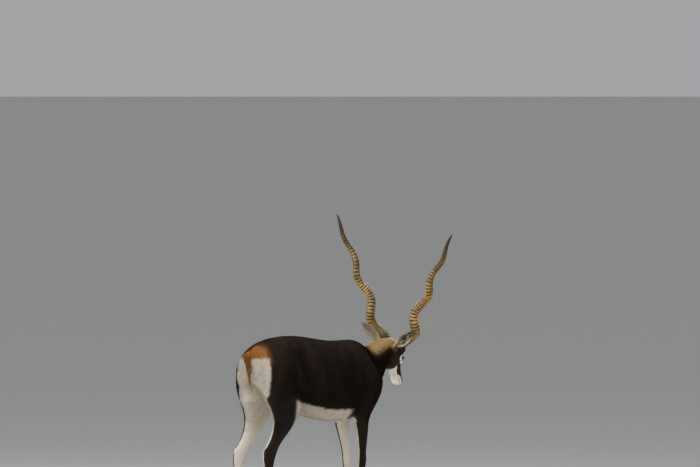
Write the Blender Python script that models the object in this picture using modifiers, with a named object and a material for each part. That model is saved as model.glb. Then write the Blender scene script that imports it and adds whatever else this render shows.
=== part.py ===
# A life-size male blackbuck standing with its head lowered and turned a little to its left.
# Metres, +Z up. The animal faces -Y, its left side is +X, and the origin is on the floor.
# Body places are given as forward of the withers, to the left of the midline, and height.

import math

import bmesh
import bpy
import numpy as np
from mathutils import Matrix, Vector
from mathutils.kdtree import KDTree

# Driving dimensions
GAP = 0.0003  # kept between neighbouring pieces
BODY_VOXEL = 0.0042
HEAD_VOXEL = 0.0022
BODY_TRIANGLES = 4600
HEAD_TRIANGLES = 3600
SHARP_ANGLE = math.radians(48)

# How the head is held: turned to the left, rolled right side down, nose pitched down
HEAD_TURN = math.radians(12.5)
HEAD_ROLL = math.radians(8.3)
NOSE_DOWN = math.radians(53.0)
BROW = (0.319, 0.050, 0.757)  # midway between the horn bases: forward, left, height

# Horns: an open spiral about a straight axis, given from a point above the brow
HORN_MIDDLE = (0.311, 0.045, 0.792)
HORN_RISE = 0.497
HORN_LEAN_BACK = 0.122
HORN_SPREAD_ROOT = 0.069
HORN_SPREAD_TIP = 0.290
HORN_BOW = -0.0246
HORN_COIL_ROOT = 0.0188
HORN_COIL_TIP = 0.0031
HORN_PHASE = math.radians(65.8)
HORN_TURNS = 2.9076
HORN_START = -0.085  # share of the rise, inside the brow
HORN_ROOT_RADIUS = 0.0210
HORN_TAPER = 0.46  # how the radius falls with what is left of the horn
HORN_SUNK = 0.020  # how far its lower end goes on into the skull
HORN_RINGS = 34
HORN_RING_END = 0.84  # rings fade out here and the tip is smooth
HORN_RING_DEPTH = 0.0017
HORN_TIP_RADIUS = 0.0006
HORN_SIDES = 10

# Ears
EAR_LENGTH = 0.118
EAR_WIDTH = 0.050
EAR_WALL = 0.0042
EAR_ROOT = (-0.048, -0.046, 0.041)  # along the head, above its profile, to the side
EAR_LIE = {1: (0.66, 0.69, -0.33), -1: (0.66, 0.72, -0.11)}  # up, outward and ahead, for left and right

# Eyes
EYE_RADIUS = 0.0165
EYE_OPENING = (0.0135, 0.0092, 0.0076)  # half length, upper half height, lower half height
EYE_PLACE = (0.036, -0.027, 0.0320)

# Forms on each flank, as rows of forward and height, with a width and a depth, negative for a ridge
MUSCLE_LINES = [
    ([(-0.070, 0.720), (-0.088, 0.620), (-0.084, 0.510)], 0.024, 0.0060),  # behind the shoulder
    ([(0.010, 0.770), (0.028, 0.700), (0.058, 0.625)], 0.016, -0.0030),  # ridge of the shoulder blade
    ([(-0.395, 0.735), (-0.378, 0.690), (-0.372, 0.650)], 0.042, 0.0095),  # hollow of the flank
    ([(-0.478, 0.782), (-0.500, 0.774)], 0.018, -0.0050),  # point of the hip
    ([(-0.440, 0.690), (-0.430, 0.620)], 0.022, -0.0040),  # front of the thigh
    ([(-0.575, 0.720), (-0.585, 0.640)], 0.020, 0.0035),  # behind the haunch
]

# Lines on each side of the face, as rows of along and above
MOUTH_LINE = [(0.112, -0.0490), (0.128, -0.0482), (0.146, -0.0482), (0.160, -0.0478), (0.171, -0.0470)]
GLAND_SLIT = [(0.064, -0.026), (0.069, -0.034), (0.070, -0.043)]
JAW_HOLLOW = [(0.056, -0.062), (0.080, -0.057), (0.104, -0.052)]

# Feet
HOOF_LENGTH = 0.050
HOOF_WIDTH = 0.0185
HOOF_HEIGHT = 0.031
HOOF_SPACING = 0.0104

# Where each coronet lies, forward of the withers and to the side
CORONET = {"front": 0.028, "hind": -0.572}
CORONET_LEFT = 0.0615

# Cuts between the pieces of the skin: a place on each, and the way it faces
NECK_CUT = (0.098, 0.008, 0.660)
NECK_CUT_WAY = (math.cos(0.42), 0.08, math.sin(0.42))
HEAD_CUT = (0.226, 0.038, 0.736)
HEAD_CUT_WAY = (math.cos(0.16), 0.20, -math.sin(0.16))

THIGH_CUT_TILT = math.radians(-11)

# The tail, from its root inside the rump: forward, left, height, half depth and half width.
# It is swung a little to the right.
TAIL_PATH = [
    (-0.628, 0.000, 0.746, 0.0150, 0.0165),
    (-0.656, -0.003, 0.747, 0.0160, 0.0182),
    (-0.676, -0.013, 0.732, 0.0142, 0.0168),
    (-0.686, -0.025, 0.709, 0.0112, 0.0142),
    (-0.691, -0.035, 0.682, 0.0094, 0.0120),
    (-0.692, -0.042, 0.655, 0.0078, 0.0100),
    (-0.691, -0.047, 0.630, 0.0060, 0.0080),
    (-0.689, -0.050, 0.606, 0.0028, 0.0045),
]
TAIL_TIERS = [(0.706, 4, 0.084), (0.672, 4, 0.080), (0.634, 4, 0.068)]  # height, locks and their length

# How far each foot stands ahead of its hip or shoulder
STEP = {"front_left": 0.045, "front_right": -0.035, "hind_left": -0.045, "hind_right": 0.040}


def clear_scene():
    for obj in list(bpy.data.objects):
        bpy.data.objects.remove(obj, do_unlink=True)


def place(forward, left, height):
    """A body place as a point of the model's frame."""
    return Vector((left, -forward, height))


def head_axes():
    """Unit vectors of the head: level forward, its left, up, along the nose, above the profile."""
    forward = place(math.cos(HEAD_TURN), math.sin(HEAD_TURN), 0)
    left_level = place(-math.sin(HEAD_TURN), math.cos(HEAD_TURN), 0)
    up_level = Vector((0, 0, 1))
    left = left_level * math.cos(HEAD_ROLL) + up_level * math.sin(HEAD_ROLL)
    up = up_level * math.cos(HEAD_ROLL) - left_level * math.sin(HEAD_ROLL)
    nose = forward * math.cos(NOSE_DOWN) - up * math.sin(NOSE_DOWN)
    above = forward * math.sin(NOSE_DOWN) + up * math.cos(NOSE_DOWN)
    return forward, left, up, nose, above


FORWARD, LEFT, UP, NOSE, ABOVE = head_axes()


def on_head(along, above, left):
    """A place on the head: along the nose from the horn bases, above the profile, to the head's left."""
    return place(*BROW) + NOSE * along + ABOVE * above + LEFT * left


def material(name, colour, roughness):
    made = bpy.data.materials.new(name)
    made.use_nodes = True
    shader = made.node_tree.nodes["Principled BSDF"]
    shader.inputs["Base Color"].default_value = (*colour, 1)
    shader.inputs["Roughness"].default_value = roughness
    return made


def power(value, exponent):
    """A signed power, which squares or pinches a round section."""
    return math.copysign(abs(value) ** exponent, value)


def ring(centre, across, upward, half_width, top, bottom, square_top=2.0, square_bottom=2.0, sides=28):
    """One closed section: half_width each way along across, top and bottom along upward."""
    points = []
    for step in range(sides):
        angle = 2 * math.pi * step / sides
        square = square_top if math.sin(angle) >= 0 else square_bottom
        height = top if math.sin(angle) >= 0 else bottom
        out = across * half_width * power(math.cos(angle), 2 / square)
        points.append(centre + out + upward * height * power(math.sin(angle), 2 / square))
    return points


def loft(name, rings):
    """A closed tube through rings of equal count, with a fan over each end."""
    shape = bmesh.new()
    rows = [[shape.verts.new(point) for point in points] for points in rings]
    count = len(rows[0])
    for lower, upper in zip(rows, rows[1:]):
        for i in range(count):
            j = (i + 1) % count
            shape.faces.new((lower[i], lower[j], upper[j], upper[i]))
    for row, last in ((rows[0], False), (rows[-1], True)):
        middle = shape.verts.new(sum((v.co for v in row), Vector()) / count)
        for i in range(count):
            j = (i + 1) % count
            shape.faces.new((row[i], row[j], middle) if last else (row[j], row[i], middle))
    bmesh.ops.recalc_face_normals(shape, faces=shape.faces)
    bmesh.ops.triangulate(shape, faces=shape.faces)
    mesh = bpy.data.meshes.new(name)
    shape.to_mesh(mesh)
    shape.free()
    return add_object(name, mesh)


def add_object(name, mesh):
    obj = bpy.data.objects.new(name, mesh)
    bpy.context.scene.collection.objects.link(obj)
    return obj


def ellipsoid(name, centre, radii, axes, around=24, rows=16):
    """A ball stretched along three given axes."""
    shape = bmesh.new()
    bmesh.ops.create_uvsphere(shape, u_segments=around, v_segments=rows, radius=1)
    for vert in shape.verts:
        vert.co = centre + sum((axis * r * c for axis, r, c in zip(axes, radii, vert.co)), Vector())
    bmesh.ops.recalc_face_normals(shape, faces=shape.faces)
    bmesh.ops.triangulate(shape, faces=shape.faces)
    mesh = bpy.data.meshes.new(name)
    shape.to_mesh(mesh)
    shape.free()
    return add_object(name, mesh)


def join(name, objects):
    """One object that holds the given closed shapes, overlapping as they are."""
    shape = bmesh.new()
    for obj in objects:
        shape.from_mesh(obj.data)
        bpy.data.objects.remove(obj, do_unlink=True)
    mesh = bpy.data.meshes.new(name)
    shape.to_mesh(mesh)
    shape.free()
    return add_object(name, mesh)


def apply_modifiers(obj):
    """Replaces the mesh by what its modifiers make of it."""
    graph = bpy.context.evaluated_depsgraph_get()
    mesh = bpy.data.meshes.new_from_object(obj.evaluated_get(graph))
    obj.modifiers.clear()
    obj.data = mesh
    return obj


def fuse(obj, voxel, rounds):
    """Melts overlapping closed shapes into one even skin."""
    melt = obj.modifiers.new("melt", "REMESH")
    melt.mode = "VOXEL"
    melt.voxel_size = voxel
    even = obj.modifiers.new("even", "SMOOTH")
    even.factor = 0.5
    even.iterations = rounds
    return apply_modifiers(obj)


def soften(obj, rounds, share):
    """Evens out a skin by a share that depends on the place."""
    group = obj.vertex_groups.new(name="share")
    for vertex in obj.data.vertices:
        group.add([vertex.index], min(1.0, max(0.0, share(vertex.co))), "REPLACE")
    even = obj.modifiers.new("even", "SMOOTH")
    even.factor = 0.5
    even.iterations = rounds
    even.vertex_group = group.name
    apply_modifiers(obj)
    obj.vertex_groups.clear()
    return obj


def grown(obj, distance):
    """The same shape, pushed out along its normals, for cutting a seat with a thin gap."""
    obj.data.update()
    normals = [vertex.normal.copy() for vertex in obj.data.vertices]
    for vertex, normal in zip(obj.data.vertices, normals):
        vertex.co += normal * distance
    return obj


def thin_out(obj, triangles):
    """Reduces a mesh to about this many triangles, keeping its curved places finer."""
    shape = bmesh.new()
    shape.from_mesh(obj.data)
    bmesh.ops.triangulate(shape, faces=shape.faces)
    count = len(shape.faces)
    shape.to_mesh(obj.data)
    shape.free()
    fewer = obj.modifiers.new("fewer", "DECIMATE")
    fewer.ratio = min(1.0, triangles / count)
    return apply_modifiers(obj)


def largest_part(obj):
    """Keeps only the largest closed surface of a mesh."""
    shape = bmesh.new()
    shape.from_mesh(obj.data)
    left, parts = set(shape.verts), []
    while left:
        stack, part = [left.pop()], set()
        while stack:
            vert = stack.pop()
            part.add(vert)
            for edge in vert.link_edges:
                other = edge.other_vert(vert)
                if other in left:
                    left.discard(other)
                    stack.append(other)
        parts.append(part)
    kept = max(parts, key=len)
    bmesh.ops.delete(shape, geom=[v for v in shape.verts if v not in kept], context="VERTS")
    shape.to_mesh(obj.data)
    shape.free()
    return obj


def boolean(obj, other, operation, solver="EXACT"):
    cut = obj.modifiers.new("cut", "BOOLEAN")
    cut.operation = operation
    cut.object = other
    cut.solver = solver
    return apply_modifiers(obj)


def union_all(name, objects):
    """Joins closed shapes that overlap into one closed body."""
    pieces = bpy.data.collections.new(name + "_pieces")
    for obj in objects[1:]:
        pieces.objects.link(obj)
    cut = objects[0].modifiers.new("union", "BOOLEAN")
    cut.operation = "UNION"
    cut.operand_type = "COLLECTION"
    cut.collection = pieces
    cut.solver = "MANIFOLD"
    apply_modifiers(objects[0])
    for obj in objects[1:]:
        bpy.data.objects.remove(obj, do_unlink=True)
    bpy.data.collections.remove(pieces)
    objects[0].name = name
    return largest_part(objects[0])


def copy_of(obj, name):
    return add_object(name, obj.data.copy())


def keep_side(obj, point, normal):
    """Cuts a closed mesh on a plane, keeps the side the normal points to, and closes it flat."""
    shape = bmesh.new()
    shape.from_mesh(obj.data)
    everything = shape.verts[:] + shape.edges[:] + shape.faces[:]
    plane = {"plane_co": point, "plane_no": normal, "dist": 1e-7}
    bmesh.ops.bisect_plane(shape, geom=everything, clear_inner=True, **plane)
    rim = [edge for edge in shape.edges if edge.is_boundary]
    bmesh.ops.holes_fill(shape, edges=rim, sides=0)
    bmesh.ops.triangulate(shape, faces=[f for f in shape.faces if len(f.verts) > 3])
    shape.to_mesh(obj.data)
    shape.free()
    return largest_part(obj)


def torso_shape():
    """Barrel, withers, loin and croup. Rows: forward, top, bottom, half width, widest height."""
    stations = [
        (0.150, 0.640, 0.575, 0.030, 0.610),
        (0.125, 0.700, 0.535, 0.058, 0.615),
        (0.085, 0.752, 0.500, 0.078, 0.610),
        (0.040, 0.786, 0.474, 0.090, 0.605),
        (-0.010, 0.800, 0.454, 0.097, 0.600),
        (-0.070, 0.798, 0.447, 0.106, 0.598),
        (-0.140, 0.796, 0.448, 0.114, 0.600),
        (-0.220, 0.803, 0.456, 0.120, 0.607),
        (-0.300, 0.815, 0.472, 0.120, 0.618),
        (-0.380, 0.822, 0.496, 0.112, 0.640),
        (-0.450, 0.821, 0.522, 0.105, 0.668),
        (-0.520, 0.813, 0.555, 0.102, 0.695),
        (-0.580, 0.798, 0.590, 0.092, 0.705),
        (-0.630, 0.774, 0.620, 0.076, 0.705),
        (-0.660, 0.748, 0.645, 0.055, 0.700),
        (-0.674, 0.725, 0.668, 0.030, 0.695),
    ]
    rings = []
    across, _, upward = world_axes()
    for forward, top, bottom, half_width, widest in stations:
        centre = place(forward, 0, widest)
        rings.append(ring(centre, across, upward, half_width, top - widest, widest - bottom, 1.75, 2.0))
    return loft("barrel", rings)


def neck_shape():
    """The neck, from chest to poll. Rows: forward, left, height, tilt, half height, half width."""
    stations = [
        (-0.040, 0.000, 0.668, 8, 0.112, 0.070),
        (0.030, 0.001, 0.655, 12, 0.112, 0.072),
        (0.085, 0.006, 0.663, 20, 0.105, 0.069),
        (0.130, 0.014, 0.683, 26, 0.092, 0.062),
        (0.170, 0.023, 0.704, 24, 0.078, 0.054),
        (0.205, 0.032, 0.724, 14, 0.066, 0.048),
        (0.236, 0.040, 0.738, -6, 0.060, 0.045),
        (0.262, 0.045, 0.742, -24, 0.050, 0.042),
    ]
    rings = []
    for forward, left, height, tilt, half_height, half_width in stations:
        angle = math.radians(tilt)
        upward = place(-math.sin(angle), 0, math.cos(angle))
        across = Vector((1, 0, 0))
        centre = place(forward, left, height)
        rings.append(ring(centre, across, upward, half_width, half_height, half_height, 2.1, 1.9))
    return loft("neck_mass", rings)


def leg_rings(stations, side, step, pivot, sides=20):
    """Level sections down a leg. Rows: forward, left, height, half depth, half width."""
    rings = []
    for forward, left, height, half_depth, half_width in stations:
        drop = max(0.0, min(1.0, (pivot - height) / pivot))
        centre = place(forward + step * drop, left * side, height)
        ahead, aside = Vector((0, -1, 0)), Vector((1, 0, 0))
        rings.append(ring(centre, ahead, aside, half_depth, half_width, half_width, sides=sides))
    return rings


def dewclaws(forward, left, side):
    """The two small hooves behind a fetlock."""
    claws = []
    for aside in (-0.0155, 0.0045):
        middle = place(forward - 0.002, (left + aside) * side, 0.078)
        claws.append(ellipsoid("dewclaw", middle, (0.0052, 0.0068, 0.0085), world_axes()))
    return claws


def front_leg(side, step):
    """Shoulder, forearm, knee, cannon and pastern."""
    shoulder = [
        (-0.020, 0.030, 0.775, 0.030, 0.012),
        (-0.005, 0.044, 0.735, 0.060, 0.024),
        (0.018, 0.056, 0.680, 0.080, 0.036),
        (0.034, 0.062, 0.620, 0.086, 0.042),
        (0.026, 0.065, 0.565, 0.080, 0.041),
        (0.006, 0.067, 0.515, 0.064, 0.037),
        (-0.008, 0.068, 0.475, 0.046, 0.031),
        (-0.008, 0.067, 0.440, 0.036, 0.0265),
        (-0.002, 0.066, 0.400, 0.0300, 0.0235),
        (0.003, 0.065, 0.355, 0.0240, 0.0200),
        (0.006, 0.064, 0.315, 0.0195, 0.0175),
        (0.009, 0.063, 0.285, 0.0212, 0.0195),
        (0.008, 0.063, 0.262, 0.0205, 0.0185),
        (0.004, 0.062, 0.238, 0.0165, 0.0155),
        (0.002, 0.062, 0.180, 0.0138, 0.0132),
        (0.001, 0.061, 0.120, 0.0135, 0.0132),
        (0.000, 0.061, 0.092, 0.0180, 0.0160),
        (0.002, 0.061, 0.075, 0.0178, 0.0158),
        (0.012, 0.061, 0.055, 0.0142, 0.0146),
        (0.020, 0.061, 0.040, 0.0162, 0.0170),
        (0.024, 0.061, 0.031, 0.0180, 0.0182),
        (0.026, 0.061, 0.023, 0.0180, 0.0182),
    ]
    pivot = 0.60
    leg = loft("front_mass", leg_rings(shoulder, side, step, pivot))
    nubs = dewclaws(-0.016 + step * 0.87, 0.067, side)
    elbow = ellipsoid("elbow", place(-0.040, 0.069 * side, 0.482), (0.022, 0.026, 0.040), world_axes())
    return [leg, elbow, *nubs]


def world_axes():
    return Vector((1, 0, 0)), Vector((0, 1, 0)), Vector((0, 0, 1))


def hind_leg(side, step):
    """Haunch, thigh, gaskin, hock, cannon and pastern."""
    thigh = [
        (-0.500, 0.036, 0.785, 0.050, 0.020),
        (-0.510, 0.048, 0.750, 0.090, 0.032),
        (-0.530, 0.057, 0.700, 0.112, 0.042),
        (-0.535, 0.061, 0.650, 0.122, 0.045),
        (-0.528, 0.064, 0.600, 0.122, 0.044),
        (-0.515, 0.068, 0.555, 0.112, 0.041),
        (-0.505, 0.070, 0.510, 0.092, 0.037),
        (-0.512, 0.070, 0.465, 0.068, 0.032),
        (-0.538, 0.068, 0.420, 0.050, 0.0265),
        (-0.568, 0.066, 0.382, 0.0395, 0.0220),
        (-0.590, 0.065, 0.356, 0.0385, 0.0195),
        (-0.602, 0.064, 0.336, 0.0395, 0.0185),
        (-0.611, 0.064, 0.316, 0.0375, 0.0185),
        (-0.617, 0.064, 0.294, 0.0315, 0.0190),
        (-0.618, 0.063, 0.270, 0.0250, 0.0180),
        (-0.614, 0.063, 0.243, 0.0195, 0.0160),
        (-0.610, 0.062, 0.180, 0.0160, 0.0140),
        (-0.606, 0.062, 0.120, 0.0150, 0.0136),
        (-0.602, 0.062, 0.092, 0.0190, 0.0162),
        (-0.598, 0.062, 0.075, 0.0182, 0.0158),
        (-0.588, 0.062, 0.055, 0.0145, 0.0146),
        (-0.580, 0.062, 0.040, 0.0165, 0.0170),
        (-0.576, 0.062, 0.031, 0.0182, 0.0182),
        (-0.574, 0.062, 0.023, 0.0182, 0.0182),
    ]
    pivot = 0.66
    leg = loft("hind_mass", leg_rings(thigh, side, step, pivot))
    nubs = dewclaws(-0.618 + step * 0.87, 0.068, side)
    point = place(-0.639 + step * 0.52, 0.064 * side, 0.327)
    hock = ellipsoid("hock", point, (0.0095, 0.0105, 0.022), world_axes())
    flank = ellipsoid("flank", place(-0.420, 0.070 * side, 0.598), (0.019, 0.060, 0.078), world_axes())
    seat = ellipsoid("seat", place(-0.625, 0.045 * side, 0.665), (0.028, 0.050, 0.070), world_axes())
    return [leg, hock, flank, seat, *nubs]


def body_mass():
    """Torso, neck and legs as one skin."""
    shapes = [torso_shape(), neck_shape()]
    for side, sign in (("left", 1), ("right", -1)):
        shapes += front_leg(sign, STEP["front_" + side])
        shapes += hind_leg(sign, STEP["hind_" + side])
    body = fuse(join("body", shapes), BODY_VOXEL, 5)
    soften(body, 30, lambda spot: min((spot.z - 0.42) / 0.08, (spot.y + 0.20) / 0.08))
    for side in (1, -1):
        for rows, width, depth in MUSCLE_LINES:
            press(body, on_flank(body, side, rows), width, depth)
    return largest_part(thin_out(largest_part(body), BODY_TRIANGLES))


def skull_shapes():
    """Skull, cheeks and muzzle. Rows: along, profile top, jaw, half width, height of the widest part."""
    stations = [
        (-0.066, -0.052, -0.082, 0.020, -0.066),
        (-0.052, -0.030, -0.096, 0.036, -0.058),
        (-0.034, -0.010, -0.104, 0.0440, -0.046),
        (-0.014, 0.002, -0.108, 0.0462, -0.038),
        (0.008, 0.005, -0.107, 0.0470, -0.032),
        (0.030, 0.001, -0.101, 0.0462, -0.030),
        (0.050, -0.006, -0.091, 0.0400, -0.032),
        (0.070, -0.011, -0.082, 0.0325, -0.035),
        (0.094, -0.015, -0.072, 0.0270, -0.037),
        (0.120, -0.0175, -0.0645, 0.0240, -0.038),
        (0.144, -0.0190, -0.0605, 0.0228, -0.039),
        (0.160, -0.0210, -0.0585, 0.0212, -0.039),
        (0.171, -0.0255, -0.0550, 0.0175, -0.039),
        (0.177, -0.0310, -0.0490, 0.0110, -0.039),
    ]
    rings = []
    for along, top, jaw, half_width, widest in stations:
        centre = on_head(along, widest, 0)
        rings.append(ring(centre, LEFT, ABOVE, half_width, top - widest, widest - jaw, 2.35, 1.75))
    shapes = [loft("skull", rings)]
    axes = (NOSE, ABOVE, LEFT)
    for side in (1, -1):
        orbit = on_head(0.035, -0.026, 0.0300 * side)
        cheek = on_head(0.010, -0.070, 0.028 * side)
        shapes.append(ellipsoid("orbit", orbit, (0.029, 0.023, 0.0198), axes))
        shapes.append(ellipsoid("cheek", cheek, (0.046, 0.034, 0.0125), axes))
        seat = horn_centre(HORN_START, side) - UP * 0.011 - LEFT * side * 0.004
        shapes.append(ellipsoid("horn_seat", seat, (0.0260, 0.0245, 0.0215), (FORWARD, LEFT, UP)))
    shapes.append(ellipsoid("poll", on_head(-0.030, -0.016, 0), (0.030, 0.020, 0.034), axes))
    return shapes


def face_shapes():
    """The smaller forms of the face: lids, nostril wings, lips and chin."""
    axes = (NOSE, ABOVE, LEFT)
    shapes = [ellipsoid("chin", on_head(0.148, -0.0560, 0), (0.020, 0.0065, 0.0145), axes)]
    for side in (1, -1):
        wing = on_head(0.160, -0.0315, 0.0125 * side)
        upper_lip = on_head(0.148, -0.0435, 0.0140 * side)
        lower_lip = on_head(0.142, -0.0530, 0.0110 * side)
        shapes.append(ellipsoid("nostril_wing", wing, (0.013, 0.009, 0.0090), axes))
        shapes.append(ellipsoid("upper_lip", upper_lip, (0.026, 0.0070, 0.0095), axes))
        shapes.append(ellipsoid("lower_lip", lower_lip, (0.026, 0.0060, 0.0095), axes))
        shapes.append(lid_rim(side))
    return shapes


def on_flank(obj, side, rows, steps=12):
    """A line on one side of the body's skin, through rows of forward and height."""
    shares = np.linspace(0, len(rows) - 1, steps)
    forward = np.interp(shares, range(len(rows)), [row[0] for row in rows])
    height = np.interp(shares, range(len(rows)), [row[1] for row in rows])
    return [skin_point(obj, place(f, 0, z), place(0, side, 0)) for f, z in zip(forward, height)]


def surface_tree(mesh):
    tree = KDTree(len(mesh.vertices))
    for vertex in mesh.vertices:
        tree.insert(vertex.co, vertex.index)
    tree.balance()
    return tree


def press(obj, points, width, depth):
    """Pushes the skin in along a line of points, or out where depth is negative."""
    mesh = obj.data
    line = []
    for a, b in zip(points, points[1:]):
        steps = max(1, int((b - a).length / (width * 0.35)))
        line += [a.lerp(b, k / steps) for k in range(steps)]
    line.append(points[-1])
    tree = surface_tree(mesh)
    nearest = {}
    for point in line:
        for _, index, distance in tree.find_range(point, width * 2.2):
            nearest[index] = min(distance, nearest.get(index, 1.0))
    normals = {i: mesh.vertices[i].normal.copy() for i in nearest}
    for index, distance in nearest.items():
        mesh.vertices[index].co -= normals[index] * depth * math.exp(-((distance / width) ** 2))
    mesh.update()


def skin_point(obj, point, direction):
    """Where a ray from inside a skin leaves it, used to lay lines on it."""
    hit, spot, _, _ = obj.ray_cast(point, direction)
    if not hit:
        raise RuntimeError("a line misses the skin")
    return spot


def on_side(obj, side, spots, steps=14):
    """A fine line on one side of the head's skin, through rows of along and above."""
    shares = np.linspace(0, len(spots) - 1, steps)
    along = np.interp(shares, range(len(spots)), [spot[0] for spot in spots])
    above = np.interp(shares, range(len(spots)), [spot[1] for spot in spots])
    return [skin_point(obj, on_head(a, b, 0.002 * side), LEFT * side) for a, b in zip(along, above)]


def almond(side, out, widen=1.0):
    """The rim of the eye opening, an almond on the eyeball, moved out and widened for its outer end."""
    centre, look = eye_place(side), eye_look(side)
    across = (NOSE - look * NOSE.dot(look)).normalized()
    upward = look.cross(across)
    if upward.dot(ABOVE) < 0:
        upward = -upward
    half_length, upper, lower = EYE_OPENING
    points = []
    for step in range(28):
        angle = 2 * math.pi * step / 28
        x = half_length * math.cos(angle)
        y = (upper if math.sin(angle) > 0 else lower) * power(math.sin(angle), 1.2)
        depth = math.sqrt(EYE_RADIUS**2 - x * x - y * y)
        points.append(centre + (across * x + upward * y) * widen + look * (depth + out))
    return points


def eye_look(side):
    """The way the eye faces: sideways, and a little forward and up."""
    return (LEFT * side + NOSE * 0.20 + ABOVE * 0.12).normalized()


def eye_place(side):
    along, above, left = EYE_PLACE
    return on_head(along, above, left * side)


def lid_rim(side):
    """The lids: a thin roll round the eye opening, set on the eyeball."""
    rim = almond(side, 0.0010, 1.10)
    rings = []
    look = eye_look(side)
    turns = [2 * math.pi * k / 7 for k in range(7)]
    for index, point in enumerate(rim):
        ahead = (rim[(index + 1) % len(rim)] - rim[index - 1]).normalized()
        outward = ahead.cross(look).normalized()
        rings.append([point + (outward * math.cos(a) + look * math.sin(a)) * 0.0026 for a in turns])
    shape = bmesh.new()
    rows = [[shape.verts.new(p) for p in points] for points in rings]
    for index, row in enumerate(rows):
        after = rows[(index + 1) % len(rows)]
        for i in range(len(row)):
            j = (i + 1) % len(row)
            shape.faces.new((row[i], row[j], after[j], after[i]))
    bmesh.ops.recalc_face_normals(shape, faces=shape.faces)
    mesh = bpy.data.meshes.new("lids")
    shape.to_mesh(mesh)
    shape.free()
    return add_object("lids", mesh)


def head_mass():
    """The head with a length of neck behind it, so that its skin meets the neck's."""
    head = fuse(join("head", skull_shapes() + [neck_shape()]), HEAD_VOXEL, 14)
    for side in (1, -1):
        opening = loft("opening", [almond(side, -0.004), almond(side, 0.0), almond(side, 0.020, 1.5)])
        head = cut_with(head, opening, "DIFFERENCE", "MANIFOLD")
    head = fuse(join("head", [head] + face_shapes()), HEAD_VOXEL, 3)
    for side in (1, -1):
        press(head, on_side(head, side, MOUTH_LINE), 0.0024, 0.0034)
        front = [skin_point(head, on_head(0.160, -0.0470, left * side), NOSE) for left in (0, 0.004, 0.008)]
        press(head, front, 0.0024, 0.0024)
        nostril = [
            skin_point(head, on_head(0.150, -0.0325, 0), (NOSE * ahead + LEFT * side).normalized())
            for ahead in (0.55, 0.75, 0.95, 1.2, 1.5)
        ]
        press(head, nostril, 0.0026, 0.0060)
        press(head, on_side(head, side, GLAND_SLIT), 0.0036, 0.0030)
        press(head, on_side(head, side, JAW_HOLLOW), 0.0090, 0.0014)
    groove = [skin_point(head, on_head(0.160, above, 0), NOSE) for above in (-0.0375, -0.0415, -0.0450)]
    press(head, groove, 0.0016, 0.0016)
    return head


def horn_axis(share, side):
    """A point on the straight axis that the horn winds round."""
    spread = HORN_SPREAD_ROOT + (HORN_SPREAD_TIP - HORN_SPREAD_ROOT) * share
    spread += HORN_BOW * share * (1 - share)
    risen = UP * HORN_RISE * share - FORWARD * HORN_LEAN_BACK * share
    return place(*HORN_MIDDLE) + risen + LEFT * side * spread


def horn_centre(share, side):
    """A point of the horn's own centreline, which coils inwards, then forwards, outwards and back."""
    axis = UP * HORN_RISE - FORWARD * HORN_LEAN_BACK + LEFT * side * (HORN_SPREAD_TIP - HORN_SPREAD_ROOT)
    axis.normalize()
    inward = -LEFT * side
    inward = (inward - axis * inward.dot(axis)).normalized()
    ahead = FORWARD - axis * FORWARD.dot(axis)
    ahead = (ahead - inward * ahead.dot(inward)).normalized()
    coil = HORN_COIL_ROOT + (HORN_COIL_TIP - HORN_COIL_ROOT) * share
    turn = HORN_PHASE + 2 * math.pi * HORN_TURNS * share
    return horn_axis(share, side) + (inward * math.cos(turn) + ahead * math.sin(turn)) * coil


def horn_radius(share):
    """The thickness without rings: stout at the root, slender to the tip."""
    run = (share - HORN_START) / (1 - HORN_START)
    return HORN_ROOT_RADIUS * (1 - run) ** HORN_TAPER + HORN_TIP_RADIUS


def horn(side, name):
    """A ringed horn. Rings are close and deep near the root, and wider apart and fainter further up."""
    shares = [HORN_START]
    first = HORN_START + 0.045
    for count in range(HORN_RINGS):
        run = count / (HORN_RINGS - 1)
        shares.append(first + (HORN_RING_END - first) * (0.80 * run + 0.20 * run**2))
        if count < HORN_RINGS - 1:
            run = (count + 0.5) / (HORN_RINGS - 1)
            shares.append(first + (HORN_RING_END - first) * (0.80 * run + 0.20 * run**2))
    smooth_tip = np.linspace(HORN_RING_END, 1.0, 9)[1:]
    shares += [float(s) for s in smooth_tip]
    sunk = horn_centre(HORN_START, side) - (UP + LEFT * side * 0.35) * HORN_SUNK
    radius = HORN_ROOT_RADIUS * 0.80
    rings = [ring(sunk, FORWARD, LEFT * side, radius, radius, radius, sides=HORN_SIDES)]
    for index, share in enumerate(shares):
        centre = horn_centre(share, side)
        ahead = (horn_centre(share + 0.004, side) - horn_centre(share - 0.004, side)).normalized()
        across = (FORWARD - ahead * FORWARD.dot(ahead)).normalized()
        upward = ahead.cross(across)
        fade = max(0.0, 1 - (max(share, 0.0) / HORN_RING_END) ** 2.2)
        ridge = HORN_RING_DEPTH * (0.35 + 0.65 * fade) * (1 if share <= HORN_RING_END else 0)
        radius = horn_radius(share) + (ridge if index % 2 == 1 else -ridge * 0.45)
        thin = radius * 0.97
        rings.append(ring(centre, across, upward, radius * 1.05, thin, thin, sides=HORN_SIDES))
    return loft(name, rings)


def ear_frame(side):
    """The ear's own directions: along it, out of its opening, and across the opening."""
    upward, outward, ahead = EAR_LIE[side]
    along = (UP * upward + LEFT * side * outward + FORWARD * ahead).normalized()
    opening = -FORWARD * 0.86 + LEFT * side * 0.12
    opening = (opening - along * opening.dot(along)).normalized()
    return along, opening, along.cross(opening)


def ear_width(run):
    """Half width along the ear: a narrow stalk, a wide middle and a pointed tip."""
    leaf = math.sin(math.pi * min(1.0, run * 0.94 + 0.06) ** 0.80) ** 0.85
    return EAR_WIDTH / 2 * (0.10 + 0.90 * leaf)


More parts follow.
